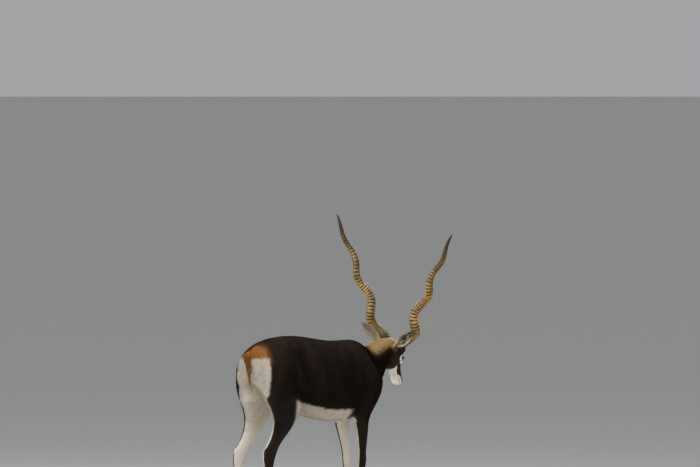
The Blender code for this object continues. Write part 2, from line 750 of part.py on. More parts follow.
def ear(side, name):
    """A leaf-shaped cup with a closed, round root that sinks into the head."""
    along, opening, across = ear_frame(side)
    root = on_head(EAR_ROOT[0], EAR_ROOT[1], EAR_ROOT[2] * side)
    rings = []
    sweep = [math.pi * k / 8 for k in range(9)]
    for run in (-0.16, -0.08, 0.0, 0.06, 0.12, 0.20, 0.30, 0.40, 0.50, 0.60, 0.70, 0.79, 0.87, 0.94, 0.985):
        centre = root + along * EAR_LENGTH * run - opening * 0.010 * math.sin(math.pi * max(run, 0) * 0.9)
        wide = max(ear_width(max(run, 0.0)), EAR_WIDTH * 0.21) if run < 0.10 else ear_width(run)
        depth = wide * (0.95 - 0.55 * run)
        wall = EAR_WALL * (1 - 0.45 * max(run, 0))
        cup = max(0.0, min(1.0, (run - 0.03) / 0.22))
        bowl = wide * 0.75 * (1 - cup) - (depth - wall) * cup
        points = [centre + across * wide * math.cos(a) - opening * depth * math.sin(a) for a in sweep]
        inner = max(wide - wall * 0.9, 0.0006)
        for a in reversed(sweep[1:-1]):
            points.append(centre + across * inner * math.cos(a) + opening * bowl * math.sin(a))
        rings.append(points)
    return loft(name, rings)


def hoof(name, forward, left, heel_turn):
    """One cleat of a cloven hoof: flat below, pointed ahead and sloping back to the coronet."""
    outline = []
    for step in range(14):
        angle = 2 * math.pi * step / 14
        x = math.cos(angle)
        reach = 0.62 if x > 0 else 0.38
        taper = 1 - 0.62 * max(0.0, x) ** 2.2
        outline.append((x * reach, math.sin(angle) * 0.5 * taper))
    rings = []
    levels = [
        (0.0, 1.0, 0.0),
        (0.006, 1.0, 0.0008),
        (0.018, 0.88, 0.0050),
        (HOOF_HEIGHT - 0.004, 0.74, 0.0095),
        (HOOF_HEIGHT, 0.66, 0.0100),
    ]
    for height, scale, back in levels:
        points = []
        for x, y in outline:
            along, across = x * HOOF_LENGTH * scale, y * HOOF_WIDTH * (0.55 + 0.45 * scale)
            turned = Vector((across, -along, 0))
            turned.rotate(Matrix.Rotation(heel_turn, 3, "Z"))
            points.append(place(forward - back, left, height) + turned)
        rings.append(points)
    return loft(name, rings)


def hooves(leg, forward, left, sign):
    """The two cleats of one foot, their points turned slightly apart."""
    made = []
    for word, way in (("inner", -1), ("outer", 1)):
        offset = way * HOOF_SPACING
        made.append(hoof(f"hoof_{leg}_{word}", forward, (left + offset) * sign, -way * sign * 0.05))
    return made


def tail_core(name):
    """The fleshy tail, hanging close to the rump."""
    centres = [place(*station[:3]) for station in TAIL_PATH]
    rings = []
    for index, centre in enumerate(centres):
        after = centres[min(index + 1, len(centres) - 1)]
        before = centres[max(index - 1, 0)]
        ahead = (after - before).normalized()
        across = (Vector((1, 0, 0)) - ahead * ahead.x).normalized()
        half_depth, half_width = TAIL_PATH[index][3:]
        rings.append(ring(centre, across, ahead.cross(across), half_width, half_depth, half_depth, sides=12))
    return loft(name, rings)


def tail_middle(height):
    """The middle of the hanging part of the tail at a height."""
    hanging = TAIL_PATH[2:]
    below = [-station[2] for station in hanging]
    forward = np.interp(-height, below, [station[0] for station in hanging])
    left = np.interp(-height, below, [station[1] for station in hanging])
    return place(float(forward), float(left), height)


def lock(start, lie, out, length, width, thickness):
    """A flat lock of hair: rooted inside, bending along its lie, tapering to a point."""
    across = lie.cross(out).normalized()
    rings = []
    for run in (0.0, 0.30, 0.62, 0.86, 1.0):
        swell = math.sin(math.pi * (0.22 + 0.70 * run)) if run < 1 else 0.06
        lift = out * (0.006 * math.sin(math.pi * min(run * 1.1, 1.0)) - 0.0035 * run)
        centre = start + lie * length * run + lift
        thin = thickness * swell
        rings.append(ring(centre, across, out, width * swell, thin, thin, sides=6))
    return loft("lock", rings)


def tail():
    """The tail with its hanging hair, which overlaps in tiers and ends in a loose point."""
    pieces = [tail_core("tail")]
    rng = np.random.default_rng(7)
    for tier, count, length in TAIL_TIERS:
        swing = (tail_middle(tier - 0.030).x - tail_middle(tier + 0.010).x) / 0.040
        for k in range(count):
            angle = ((k + 0.5) / count * 2 - 1) * 1.5
            out = Vector((math.sin(angle), math.cos(angle), 0.0))
            start = tail_middle(tier + 0.008 * rng.uniform(-1, 1)) + out * 0.006
            back = 0.03 + 0.04 * rng.uniform(-1, 1)
            lie = Vector((swing + 0.14 * math.sin(angle), back, -1)).normalized()
            pieces.append(lock(start, lie, out, length * rng.uniform(0.85, 1.15), 0.0078, 0.0026))
    return union_all("tail", pieces)


def shift_all(offset):
    """Moves every finished piece, in its mesh."""
    for obj in bpy.data.objects:
        obj.data.transform(Matrix.Translation(offset))


def centre_on_floor():
    """Puts the origin under the middle of the whole model's box."""
    corners = [vertex.co for obj in bpy.data.objects for vertex in obj.data.vertices]
    low = [min(corner[i] for corner in corners) for i in range(3)]
    high = [max(corner[i] for corner in corners) for i in range(3)]
    shift_all(Vector((-(low[0] + high[0]) / 2, -(low[1] + high[1]) / 2, -low[2])))


def group_pieces():
    """Collects the finished pieces in a collection of their own."""
    collection = bpy.data.collections.new("blackbuck")
    bpy.context.scene.collection.children.link(collection)
    for obj in list(bpy.data.objects):
        for user in list(obj.users_collection):
            user.objects.unlink(obj)
        collection.objects.link(obj)


def finish(obj, name, look):
    """Names a piece, gives it its material and smooths its round sides."""
    obj.name = name
    obj.data.name = name
    obj.data.materials.clear()
    obj.data.materials.append(look)
    obj.data.shade_smooth()
    obj.data.set_sharp_from_angle(angle=SHARP_ANGLE)
    return obj


def leg_blocks():
    """Blocks that part each leg from the trunk. Each has a middle, a size and a tilt."""
    blocks = {}
    for side, sign in (("left", 1), ("right", -1)):
        front, hind = place(0.0, 0.106 * sign, 0.1975), place(-0.605, 0.1015 * sign, 0.230)
        blocks["front_" + side] = (front, (0.180, 0.240, 0.500), 0.0)
        blocks["hind_" + side] = (hind, (0.200, 0.500, 0.630), THIGH_CUT_TILT)
    return blocks


def block(name, middle, size, tilt, grow):
    """A box about a middle, nodding by a tilt, and wider all round by a little."""
    bpy.ops.mesh.primitive_cube_add(size=1, location=(0, 0, 0))
    obj = bpy.context.object
    obj.name = name
    scale = Matrix.Diagonal((size[0] + 2 * grow, size[1] + 2 * grow, size[2] + 2 * grow, 1))
    obj.data.transform(Matrix.Translation(middle) @ Matrix.Rotation(tilt, 4, "X") @ scale)
    return obj


def cut_with(obj, cutter, operation, solver="EXACT"):
    """Cuts a mesh, drops the cutter and keeps the largest closed surface."""
    boolean(obj, cutter, operation, solver)
    bpy.data.objects.remove(cutter, do_unlink=True)
    return largest_part(obj)


def build():
    clear_scene()
    coat_dark = material("coat_dark", (0.045, 0.032, 0.026), 0.75)
    coat_nape = material("coat_nape", (0.62, 0.44, 0.22), 0.75)
    coat_fawn = material("coat_fawn", (0.36, 0.29, 0.22), 0.75)
    coat_rufous = material("coat_rufous", (0.40, 0.17, 0.06), 0.75)
    horn_brown = material("horn", (0.16, 0.11, 0.055), 0.55)
    hoof_black = material("hoof", (0.022, 0.020, 0.018), 0.45)
    eye_dark = material("eye", (0.012, 0.008, 0.006), 0.08)

    torso = body_mass()
    legs = {}
    for leg, (middle, size, tilt) in leg_blocks().items():
        cutter = block("leg_cutter", middle, size, tilt, 0)
        legs[leg] = cut_with(copy_of(torso, "leg_" + leg), cutter, "INTERSECT")
        torso = cut_with(torso, block("leg_cutter", middle, size, tilt, GAP), "DIFFERENCE")
        legs[leg] = keep_side(legs[leg], Vector((0, 0, HOOF_HEIGHT + GAP)), Vector((0, 0, 1)))

    neck_cut, neck_way = place(*NECK_CUT), place(*NECK_CUT_WAY).normalized()
    head_cut, head_way = place(*HEAD_CUT), place(*HEAD_CUT_WAY).normalized()
    neck = keep_side(copy_of(torso, "neck"), neck_cut + neck_way * GAP / 2, neck_way)
    neck = keep_side(neck, head_cut - head_way * GAP / 2, -head_way)
    torso = keep_side(torso, neck_cut - neck_way * GAP / 2, -neck_way)
    head = largest_part(thin_out(head_mass(), HEAD_TRIANGLES))
    head = keep_side(head, head_cut + head_way * GAP / 2, head_way)

    for side, sign in (("left", 1), ("right", -1)):
        eyeball = ellipsoid("eye", eye_place(sign), (EYE_RADIUS,) * 3, world_axes(), 16, 10)
        for name, solid, look in (
            ("eye_" + side, eyeball, eye_dark),
            ("horn_" + side, horn(sign, "horn"), horn_brown),
            ("ear_" + side, ear(sign, "ear"), coat_fawn),
        ):
            head = cut_with(head, grown(copy_of(solid, "seat_cutter"), GAP * 1.5), "DIFFERENCE")
            finish(solid, name, look)
    torso = cut_with(torso, grown(tail_core("tail_cutter"), GAP * 1.3), "DIFFERENCE")

    finish(head, "head", coat_dark)
    finish(neck, "neck", coat_nape)
    finish(torso, "torso", coat_dark)
    finish(tail(), "tail", coat_rufous)
    for leg, obj in legs.items():
        finish(obj, "leg_" + leg, coat_dark)
        sign = 1 if leg.endswith("left") else -1
        coronet = CORONET[leg.split("_")[0]] + STEP[leg] * 0.95
        for cleat in hooves(leg, coronet, CORONET_LEFT, sign):
            finish(cleat, cleat.name, hoof_black)
    centre_on_floor()
    group_pieces()


build()
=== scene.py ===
import math

import bmesh
import bpy
import numpy as np
from mathutils import Matrix, Vector
from mathutils.kdtree import KDTree


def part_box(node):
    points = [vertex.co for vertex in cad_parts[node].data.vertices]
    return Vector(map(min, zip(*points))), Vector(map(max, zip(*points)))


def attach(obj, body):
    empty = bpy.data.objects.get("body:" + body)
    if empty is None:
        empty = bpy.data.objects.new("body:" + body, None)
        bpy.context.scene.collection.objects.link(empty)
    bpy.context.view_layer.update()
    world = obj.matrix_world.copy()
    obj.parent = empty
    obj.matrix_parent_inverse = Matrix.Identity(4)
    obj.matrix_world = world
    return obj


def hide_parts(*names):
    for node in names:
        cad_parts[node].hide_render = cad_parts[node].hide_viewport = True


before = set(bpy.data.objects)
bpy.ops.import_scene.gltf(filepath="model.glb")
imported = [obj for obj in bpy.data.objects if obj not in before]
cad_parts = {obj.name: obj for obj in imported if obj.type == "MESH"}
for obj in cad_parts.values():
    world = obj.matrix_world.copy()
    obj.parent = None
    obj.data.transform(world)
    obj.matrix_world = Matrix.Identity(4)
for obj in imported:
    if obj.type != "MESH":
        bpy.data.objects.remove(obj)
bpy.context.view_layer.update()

# Body places are forward of the withers, left of the midline, and height, in metres
HEAD_TURN = math.radians(12.5)
HEAD_ROLL = math.radians(8.3)
NOSE_DOWN = math.radians(53.0)
BROW = (0.319, 0.050, 0.757)
EYE_PLACE = (0.036, -0.027, 0.0320)  # along the nose from the brow, above the profile, to the side
EYE_RADIUS = 0.0165
EYE_OPENING = (0.0135, 0.0092, 0.0076)  # half length, upper half height, lower half height
CORNEA_BULGE = 0.035
CORNEA_WIDTH = 0.0085
IRIS_EDGE = (0.0105, 0.0118)
IRIS_STREAKS = 34
PUPIL_SIZE = (0.0062, 0.0034)  # half length and half height
LID_REACH = 0.0031  # half the width of the skin round the opening
LID_DEPTH = 0.0020  # how thick that skin is over the eyeball

# Horns
HORN_MIDDLE = (0.311, 0.045, 0.792)
HORN_RISE = 0.497
HORN_LEAN_BACK = 0.122
HORN_SPREAD_ROOT = 0.069
HORN_SPREAD_TIP = 0.290
HORN_BOW = -0.0246
HORN_COIL_ROOT = 0.0188
HORN_COIL_TIP = 0.0031
HORN_PHASE = math.radians(65.8)
HORN_TURNS = 2.9076
HORN_START = -0.085
HORN_SUNK = 0.020  # how far its lower end goes on into the skull
HORN_ROOT_RADIUS = 0.0210
HORN_TAPER = 0.46
HORN_TIP_RADIUS = 0.0006
HORN_RINGS = 44
HORN_RING_END = 0.90
HORN_SIDES = 36
HORN_RING_UNEVEN = 0.0018  # share of the horn's length by which a groove strays at most
HORN_RING_HIGH = 0.0025  # how much higher the lowest rings stand than the last
HORN_RING_LOW = 0.0008
HORN_TIP_STATIONS = 22
HORN_POINT_RADIUS = 0.00001
HORN_FIBRE = 0.00022  # height of the fine ridges that run up the horn
HORN_RING_TILT = 0.0012  # how far a ring rises and dips on its way round the horn

# Ears
EAR_LENGTH = 0.118
EAR_WIDTH = 0.050
EAR_FREE = 0.25  # share of its length from which an ear is drawn out
EAR_REACH = 0.985  # share of the ear's length that its solid ends at
EAR_POINT = 0.55  # how much narrower its tip is drawn
EAR_ROOT = (-0.048, -0.046, 0.041)
EAR_LIE = {1: (0.66, 0.69, -0.33), -1: (0.66, 0.72, -0.11)}  # up, outward and ahead, for left and right

# Hooves
HOOF_VOXEL = 0.0010
HOOF_ROUNDS = 5
HOOF_PASTERN = 0.40  # where the leg stands on the foot, as a share from heel to toe
HOOF_DRAWN_IN = 0.17  # how far the top is drawn in round the leg
HOOF_TOE_NARROW = 0.50  # how much narrower the toe is than the heel

# Skins
BODY_VOXEL = 0.0042
HEAD_VOXEL = 0.0014
FUSE = 0.0005  # how far each solid is pushed out so that neighbours melt together
EAR_FUSE = 0.0010
MERGE_DISTANCE = 1e-6
SMOOTHING = 0.5  # how far a vertex moves toward its neighbours in one round
MELT_ROUNDS = 3
TRUNK_ROUNDS = 40
LIMB_ROUNDS = 6
HEAD_ROUNDS = 16
LAST_ROUNDS = 2
WEIGHT_LEVELS = 10
BODY_PAST_CUT = 0.014  # where the body's skin ends, ahead of the cut
HEAD_PAST_CUT = -0.050  # where the head's skin ends, behind the cut
TUCKED = 0.0014  # how much deeper each skin runs on under the other
TRUNK_HEIGHT = (0.40, 0.52)
TRUNK_FRONT = (0.14, 0.22)
FOOT_SUNK = 0.0055  # how far the skin of a leg goes down into its hooves
FOOT_HEIGHT = (0.033, 0.052)
LEG_COAT = 0.0016
TRUNK_COAT = 0.0022  # how much deeper the coat is on the trunk than on a leg
HEAD_COAT = 0.0012
FAR = 1.0  # distances are told apart only up to this

# Face, as places along the nose from the brow and above its profile
MOUTH = ((0.104, -0.0492), (0.128, -0.0482), (0.146, -0.0482), (0.160, -0.0478), (0.170, -0.0470))
LIP_FRONT = (0.158, -0.0470)
LIP_FRONT_LEFT = (0, 0.003, 0.006, 0.009)  # spots of the front of the mouth, to one side
LIP_GROOVE_ABOVE = (-0.036, -0.039, -0.042, -0.0455)
NOSTRIL = (0.150, -0.0325)
NOSTRIL_TURNS = (0.55, 0.7, 0.85, 1.0, 1.2, 1.45)  # how far ahead each ray turns, from back to front
EYE_SLIT = ((0.063, -0.024), (0.068, -0.033), (0.069, -0.043))
SLIT_MARK = ((0.064, -0.027), (0.067, -0.033), (0.069, -0.040))
JAW_FOLD = ((0.056, -0.062), (0.080, -0.057), (0.104, -0.052))
LID_FOLDS = ((1.52, -0.001, 0.0009), (1.9, -0.003, 0.0006))  # widened, moved out and depth
UPPER_LID = slice(2, 19)  # which of the spots round the eye's rim lie along the upper lid
FACE_LINE_STEPS = 26
RAY_START = 0.002  # how far beside the head's midline a ray to its side begins

# Rounded flesh melted into the head: place on the head and half sizes
FACE_SWELLINGS = (
    ("wing", (0.159, -0.0315, 0.0122), (0.0125, 0.0085, 0.0085)),
    ("lip", (0.147, -0.0437, 0.0132), (0.026, 0.0066, 0.0088)),
    ("lip", (0.142, -0.0526, 0.0103), (0.026, 0.0056, 0.0088)),
)

# Where the head's skin takes over from the neck's: a place, and the way to the head
HEAD_CUT = (0.226, 0.038, 0.736)
HEAD_CUT_WAY = (math.cos(0.16), 0.20, -math.sin(0.16))

# Colours of coat, horns and nose, linear
BLACK_BROWN = (0.0185, 0.0115, 0.0075)
WARM_BROWN = (0.060, 0.030, 0.014)
RUFOUS = (0.300, 0.140, 0.052)
TAIL_BROWN = (0.260, 0.112, 0.035)
WHITE = (0.68, 0.61, 0.49)
NAPE_CREAM = (0.36, 0.25, 0.118)
EAR_FAWN = (0.23, 0.175, 0.115)
HORN_GOLD = (0.265, 0.168, 0.054)
HORN_WORN = (0.140, 0.108, 0.054)
# Painted shade in the grooves between the horn's rings
HORN_GROOVE_SHADE = (0.040, 0.019, 0.004)
HORN_TIP = (0.020, 0.012, 0.008)
# Painted shade at the horn's root, where it goes into the skull
HORN_ROOT_SHADE = (0.045, 0.030, 0.015)
# Painted shade in the hollow of an ear's cup
SHADED_EAR_COLOUR = (0.022, 0.015, 0.011)
EAR_HAIR = (0.38, 0.33, 0.225)
NOSE_BLACK = (0.010, 0.009, 0.009)

# The tail from its root inside the rump: forward, left, height, half depth and half width
TAIL_PATH = np.array([
    (-0.628, 0.000, 0.745, 0.0140, 0.0155),
    (-0.655, -0.003, 0.746, 0.0148, 0.0170),
    (-0.675, -0.013, 0.731, 0.0128, 0.0154),
    (-0.685, -0.025, 0.708, 0.0100, 0.0128),
    (-0.690, -0.035, 0.682, 0.0083, 0.0108),
    (-0.691, -0.042, 0.655, 0.0068, 0.0088),
    (-0.690, -0.047, 0.632, 0.0052, 0.0068),
    (-0.689, -0.049, 0.612, 0.0025, 0.0035),
])

# Solids that each skin stands for; the body's stands for the tail too
BODY_NODES = ["torso", "neck", "leg_front_left", "leg_front_right", "leg_hind_left", "leg_hind_right"]
HEAD_NODES = ["head", "ear_left", "ear_right"]

# Eyes, hooves and studio: linear colours, and how bright the sky is
EYEBALL_DARK = (0.030, 0.020, 0.016)
IRIS = (0.026, 0.011, 0.005)
PUPIL = (0.003, 0.003, 0.004)
HOOF_BLACK = (0.012, 0.010, 0.009, 1)
HOOF_SCUFFED = (0.055, 0.045, 0.036, 1)
FLOOR_GREY = (0.60, 0.59, 0.57, 1)
SKY = (0.80, 0.82, 0.85, 1)
SKY_STRENGTH = 0.47

# Ears by side, 1 for left and -1 for right
EAR_CUP_SHADE = {1: 0.60, -1: 1.0}  # how strongly painted shade darkens the hollow of the left and the right ear
EAR_INSIDE_SHADE = {1: 0.60, -1: 1.0}  # how pale the hair inside each ear is kept under painted shade, which dims the left ear's

# Lines of the markings
BELLY_LINE = (  # forward, height
    (-0.60, 0.600),
    (-0.46, 0.560),
    (-0.40, 0.540),
    (-0.32, 0.520),
    (-0.22, 0.506),
    (-0.05, 0.504),
    (0.03, 0.490),
    (0.10, 0.440),
)
RUMP_FRONT = (  # height, forward
    (0.36, -0.63),
    (0.45, -0.606),
    (0.55, -0.612),
    (0.66, -0.600),
    (0.735, -0.594),
    (0.80, -0.60),
)
RUMP_LEFT = ((0.52, 0.110), (0.56, 0.078), (0.62, 0.056), (0.70, 0.046), (0.74, 0.044))  # height, left
NAPE_MIDDLE = ((0.05, 0.003), (0.13, 0.014), (0.22, 0.037), (0.30, 0.048))  # forward, left
NAPE_FLOOR = ((0.05, 0.728), (0.13, 0.722), (0.22, 0.748))  # forward, height
LIP_LINE = ((0.105, -0.050), (0.125, -0.0415), (0.150, -0.0365), (0.170, -0.0375))  # along, above

# Where markings fade in or out: from and to, where there are two numbers
FRONT_LEG_BACK = (-0.085, -0.060)
HIND_LEG_FRONT = (-0.475, -0.440)
LEG_INSIDE_FACING = (0.02, 0.22)
LEG_INSIDE_ASIDE = (0.035, 0.050)
LEG_WHITE_FOOT = (0.085, 0.120)
LEG_WHITE_TOP = (0.56, 0.62)
CHEST_FRONT = (0.045, 0.075)
CHEST_FLOOR = (0.42, 0.48)
BELLY_FLOOR = (0.36, 0.42)
RUMP_TOP = (0.727, 0.739)
RUMP_FLOOR = (0.36, 0.44)
BUTTOCK_FLOOR = (0.50, 0.54)
SEAM_ASIDE = (0.034, 0.042)
SEAM_FRONT = (-0.50, -0.46)
CROUP_FRONT = (-0.612, -0.562)
CROUP_FLOOR = (0.700, 0.722)
CROUP_TOP = (0.778, 0.800)
CROUP_STRIPE_RIGHT = (-0.004, 0.004)
CROUP_STRIPE_LEFT = (0.030, 0.038)
CROUP_STRIPE_FLOOR = (0.745, 0.760)
NAPE_ASIDE = (0.030, 0.056)
NAPE_BACK = (0.070, 0.130)
TAIL_PALE_TOP = (0.630, 0.690)
TAIL_PALE_FACING = (-0.35, 0.10)
FOOT_BROWN_TOP = (0.050, 0.080)
CROWN_ALONG = (-0.026, -0.008)
CROWN_ASIDE = (0.036, 0.046)
CROWN_ABOVE = (-0.062, -0.050)
JAW_ALONG = (0.050, 0.068)
JAW_ABOVE = (-0.0545, -0.0510)
MUZZLE_ALONG = (0.110, 0.120)
LIPS_ALONG = (0.108, 0.116)
LIPS_ABOVE = -0.0482
NOSE_PAD_END = 0.1640
NOSE_PAD_FLOOR = (-0.0445, -0.0425)
NOSE_PAD_TOP = (-0.030, -0.026)
RIM_STEPS = 90  # spots round the eye's rim for whatever is measured from it
RIM_OUT = 0.0005

# Coat: its pieces' zones run from a back to a front place
COAT_PAST_CUT = 0.002  # how far each coat runs on over the cut behind the head
HAIR_SPREAD = 0.10  # how much single tufts turn aside, in radians
SHORT_HAIR_SPREAD = 0.12
HAIR_ROOTED = 0.0006  # how deep the tufts stand in the skin
TUFT_DEPTH = 0.0006  # how thick a tuft is at its root
FACE_HAIR_ROOTED = 0.0004
EAR_HAIR_ROOTED = 0.0002
UPPER_COAT_FLOOR = 0.447  # height where the trunk's pieces give way to the legs'
BODY_TUFTS = 265000  # to the square metre
LEG_TUFTS_MORE = 60000
HEAD_TUFTS = 480000.0
TAIL_TUFTS = 420000.0
ZONES = (
    ("rear", -0.80, -0.52),
    ("loin", -0.52, -0.34),
    ("waist", -0.34, -0.16),
    ("rib", -0.16, 0.03),
    ("fore", 0.03, 0.60),
)
LEG_ZONES = (("hind", -0.80, -0.28, -0.60), ("front", -0.28, 0.40, 0.0))  # the last number is the leg's place
LEG_ASIDE = 0.065  # how far the line that a leg's coat is unrolled round lies from the midline
WEDGE_FACES = np.array([[0, 1, 3], [0, 3, 2], [1, 2, 3], [0, 2, 1]])
UV_PATCH = np.array([[-0.0015, 0.0], [0.0015, 0.0], [0.0, -0.0010], [0.0, 0.0020]])

# Lashes
LASH_RIM_STEPS = 120
LASH_FIRST = 6
LASH_LAST = 54
LASH_WIDTH = 0.0005
LASH_DEPTH = 0.0005
LASH_SHORTEST = 0.0030
LASH_MORE = 0.0042

# Lights: power, size, place and the point that each faces
LIGHTS = {
    "key": (500, 2.6, (0.6, 4.2, 3.8), (0.05, 0, 0.6)),
    "fill": (150, 4.0, (-4.6, 0.2, 2.0), (0.05, 0, 0.6)),
    "rim": (260, 3.0, (2.6, -3.6, 3.4), (0.05, 0, 0.7)),
}
FLOOR_SIZE = 6000

# Camera: the picture is 700 by 467 pixels, each 4.217 mm at the animal
FRAME_WIDTH = 700
FRAME_HEIGHT = 467
CAMERA_DISTANCE = 41.0
CAMERA_LENS = 500.0
CAMERA_SENSOR = 36.0
CAMERA_WAY = Vector((0.676, -0.737, 0)).normalized()
CAMERA_HEIGHT = 1.9106
HORIZON_ROW = 78
RUMP_COLUMN = 250  # picture column of the tail root

THINNED = 1.0
rng = np.random.default_rng(21)


def plain_place(forward, left, height):
    """A body place before the model is centred over the origin."""
    return Vector((left, -forward, height))


def head_axes():
    """Unit vectors of the head: level forward, to its left, up, along the nose, above the profile."""
    forward = plain_place(math.cos(HEAD_TURN), math.sin(HEAD_TURN), 0)
    left_level = plain_place(-math.sin(HEAD_TURN), math.cos(HEAD_TURN), 0)
    up_level = Vector((0, 0, 1))
    left = left_level * math.cos(HEAD_ROLL) + up_level * math.sin(HEAD_ROLL)
    up = up_level * math.cos(HEAD_ROLL) - left_level * math.sin(HEAD_ROLL)
    nose = forward * math.cos(NOSE_DOWN) - up * math.sin(NOSE_DOWN)
    above = forward * math.sin(NOSE_DOWN) + up * math.cos(NOSE_DOWN)
    return forward, left, up, nose, above


FORWARD, LEFT, UP, NOSE, ABOVE = head_axes()


def plain_on_head(along, above, left):
    """A place on the head before the model is centred over the origin."""
    return plain_place(*BROW) + NOSE * along + ABOVE * above + LEFT * left


def find_shift():
    """How far the solids were moved to centre them, read from the left eye."""
    low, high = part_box("eye_left")
    return (low + high) / 2 - plain_on_head(*EYE_PLACE)


SHIFT = find_shift()


def place(forward, left, height):
    """A body place as a point of the model's frame."""
    return plain_place(forward, left, height) + SHIFT


def on_head(along, above, left):
    """A place on the head: along the nose from the horn bases, above the profile, to the head's left."""
    return plain_on_head(along, above, left) + SHIFT


def body_places(points):
    """Columns of forward, left and height for an array of points."""
    local = points - np.array(SHIFT)
    return -local[:, 1], local[:, 0], local[:, 2]


def head_places(points):
    """Columns of along, above and left on the head for an array of points."""
    local = points - np.array(on_head(0, 0, 0))
    return local @ np.array(NOSE), local @ np.array(ABOVE), local @ np.array(LEFT)


def toward_head(points):
    """How far points lie on the head's side of the cut behind the head."""
    middle, way = place(*HEAD_CUT), plain_place(*HEAD_CUT_WAY).normalized()
    return (points - np.array(middle)) @ np.array(way)


def ramp(value, start, end):
    """0 before start, 1 after end, smooth between."""
    share = np.clip((value - start) / (end - start), 0, 1)
    return share * share * (3 - 2 * share)


def wobble(points, size, seed):
    """Smooth noise, mostly from -1 to 1, with lumps of about this size, from a few crossing waves."""
    waves = np.random.default_rng(seed)
    total = np.zeros(len(points))
    for _ in range(6):
        way = waves.normal(size=3)
        way *= 2 * math.pi / (size * np.linalg.norm(way)) * waves.uniform(0.7, 1.5)
        total += np.sin(points @ way + waves.uniform(0, 2 * math.pi))
    return total / 3.2


def unit(vectors):
    return vectors / np.maximum(np.linalg.norm(vectors, axis=1, keepdims=True), 1e-9)


def select_only(*objects):
    """Selects these objects and makes the first one active."""
    bpy.ops.object.select_all(action="DESELECT")
    for obj in objects:
        obj.select_set(True)
    bpy.context.view_layer.objects.active = objects[0]


def merged_copy(node, grow):
    """A joined-up copy of a solid, pushed out a little so that neighbours fuse."""
    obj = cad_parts[node].copy()
    obj.data = obj.data.copy()
    obj.parent = None
    for key in list(obj.keys()):
        del obj[key]
    bpy.context.scene.collection.objects.link(obj)
    shape = bmesh.new()
    shape.from_mesh(obj.data)
    bmesh.ops.remove_doubles(shape, verts=shape.verts, dist=MERGE_DISTANCE)
    bmesh.ops.recalc_face_normals(shape, faces=shape.faces)
    shape.normal_update()
    for vert in shape.verts:
        vert.co += vert.normal * grow
    shape.to_mesh(obj.data)
    shape.free()
    obj.data.materials.clear()
    return obj


def joined(name, objects):
    """Joins objects in one, under a new name."""
    select_only(*objects)
    bpy.ops.object.join()
    obj = bpy.context.object
    obj.name = name
    obj.data.name = name
    return obj


def apply_all(obj):
    """Applies every modifier in turn."""
    select_only(obj)
    for modifier in list(obj.modifiers):
        bpy.ops.object.modifier_apply(modifier=modifier.name)
    return obj


def add_smoothing(obj, rounds):
    """Adds the modifier that evens a skin."""
    even = obj.modifiers.new("even", "SMOOTH")
    even.factor = SMOOTHING
    even.iterations = rounds
    return even


def remeshed(obj, voxel, rounds):
    """Melts overlapping shapes into one skin and evens it."""
    melt = obj.modifiers.new("melt", "REMESH")
    melt.mode = "VOXEL"
    melt.voxel_size = voxel
    add_smoothing(obj, rounds)
    apply_all(obj)


def vertex_array(mesh):
    points = np.empty(len(mesh.vertices) * 3, np.float32)
    mesh.vertices.foreach_get("co", points)
    return points.reshape(-1, 3).astype(float)


def normal_array(mesh):
    normals = np.empty(len(mesh.vertices) * 3, np.float32)
    mesh.vertex_normals.foreach_get("vector", normals)
    return normals.reshape(-1, 3).astype(float)


def set_vertices(mesh, points):
    mesh.vertices.foreach_set("co", points.astype(np.float32).ravel())
    mesh.update()


def evened(obj, rounds, weight):
    """Smooths a skin by a weight for each vertex."""
    group = obj.vertex_groups.new(name="share")
    levels = np.clip(np.round(weight * WEIGHT_LEVELS), 0, WEIGHT_LEVELS).astype(int)
    for level in range(1, WEIGHT_LEVELS + 1):
        chosen = np.flatnonzero(levels == level).tolist()
        if chosen:
            group.add(chosen, level / WEIGHT_LEVELS, "REPLACE")
    add_smoothing(obj, rounds).vertex_group = group.name
    apply_all(obj)
    obj.vertex_groups.clear()


def keep_largest(obj):
    """Drops loose scraps of a skin."""
    shape = bmesh.new()
    shape.from_mesh(obj.data)
    left, best = set(shape.verts), []
    while left:
        stack, part = [left.pop()], []
        while stack:
            vert = stack.pop()
            part.append(vert)
            for edge in vert.link_edges:
                other = edge.other_vert(vert)
                if other in left:
                    left.discard(other)
                    stack.append(other)
        best = part if len(part) > len(best) else best
    kept = set(best)
    bmesh.ops.delete(shape, geom=[v for v in shape.verts if v not in kept], context="VERTS")
    shape.to_mesh(obj.data)
    shape.free()


def faced_outwards(obj, merged):
    """Turns all faces outwards, after merging doubles if asked."""
    select_only(obj)
    bpy.ops.object.mode_set(mode="EDIT")
    bpy.ops.mesh.select_all(action="SELECT")
    if merged:
        bpy.ops.mesh.remove_doubles(threshold=MERGE_DISTANCE)
    bpy.ops.mesh.normals_make_consistent(inside=False)
    bpy.ops.object.mode_set(mode="OBJECT")
    return obj


def wrapped_grid(name, columns, rows, where):
    """A grid primitive laid out by where(column share, row share) and closed round its columns."""
    bpy.ops.object.select_all(action="DESELECT")
    bpy.ops.mesh.primitive_grid_add(
        x_subdivisions=columns, y_subdivisions=rows, size=1, location=(0, 0, 0)
    )
    obj = bpy.context.object
    obj.name = name
    obj.data.name = name
    flat = vertex_array(obj.data)
    set_vertices(obj.data, where(flat[:, 0] + 0.5, flat[:, 1] + 0.5))
    return faced_outwards(obj, True)


def shaded_smooth(obj):
    select_only(obj)
    bpy.ops.object.shade_smooth()
    return obj


def colour_attribute(obj, name, colours):
    """Stores one colour for each vertex."""
    layer = obj.data.color_attributes.new(name, "FLOAT_COLOR", "POINT")
    four = np.ones((len(colours), 4), np.float32)
    four[:, :3] = colours
    layer.data.foreach_set("color", four.ravel())


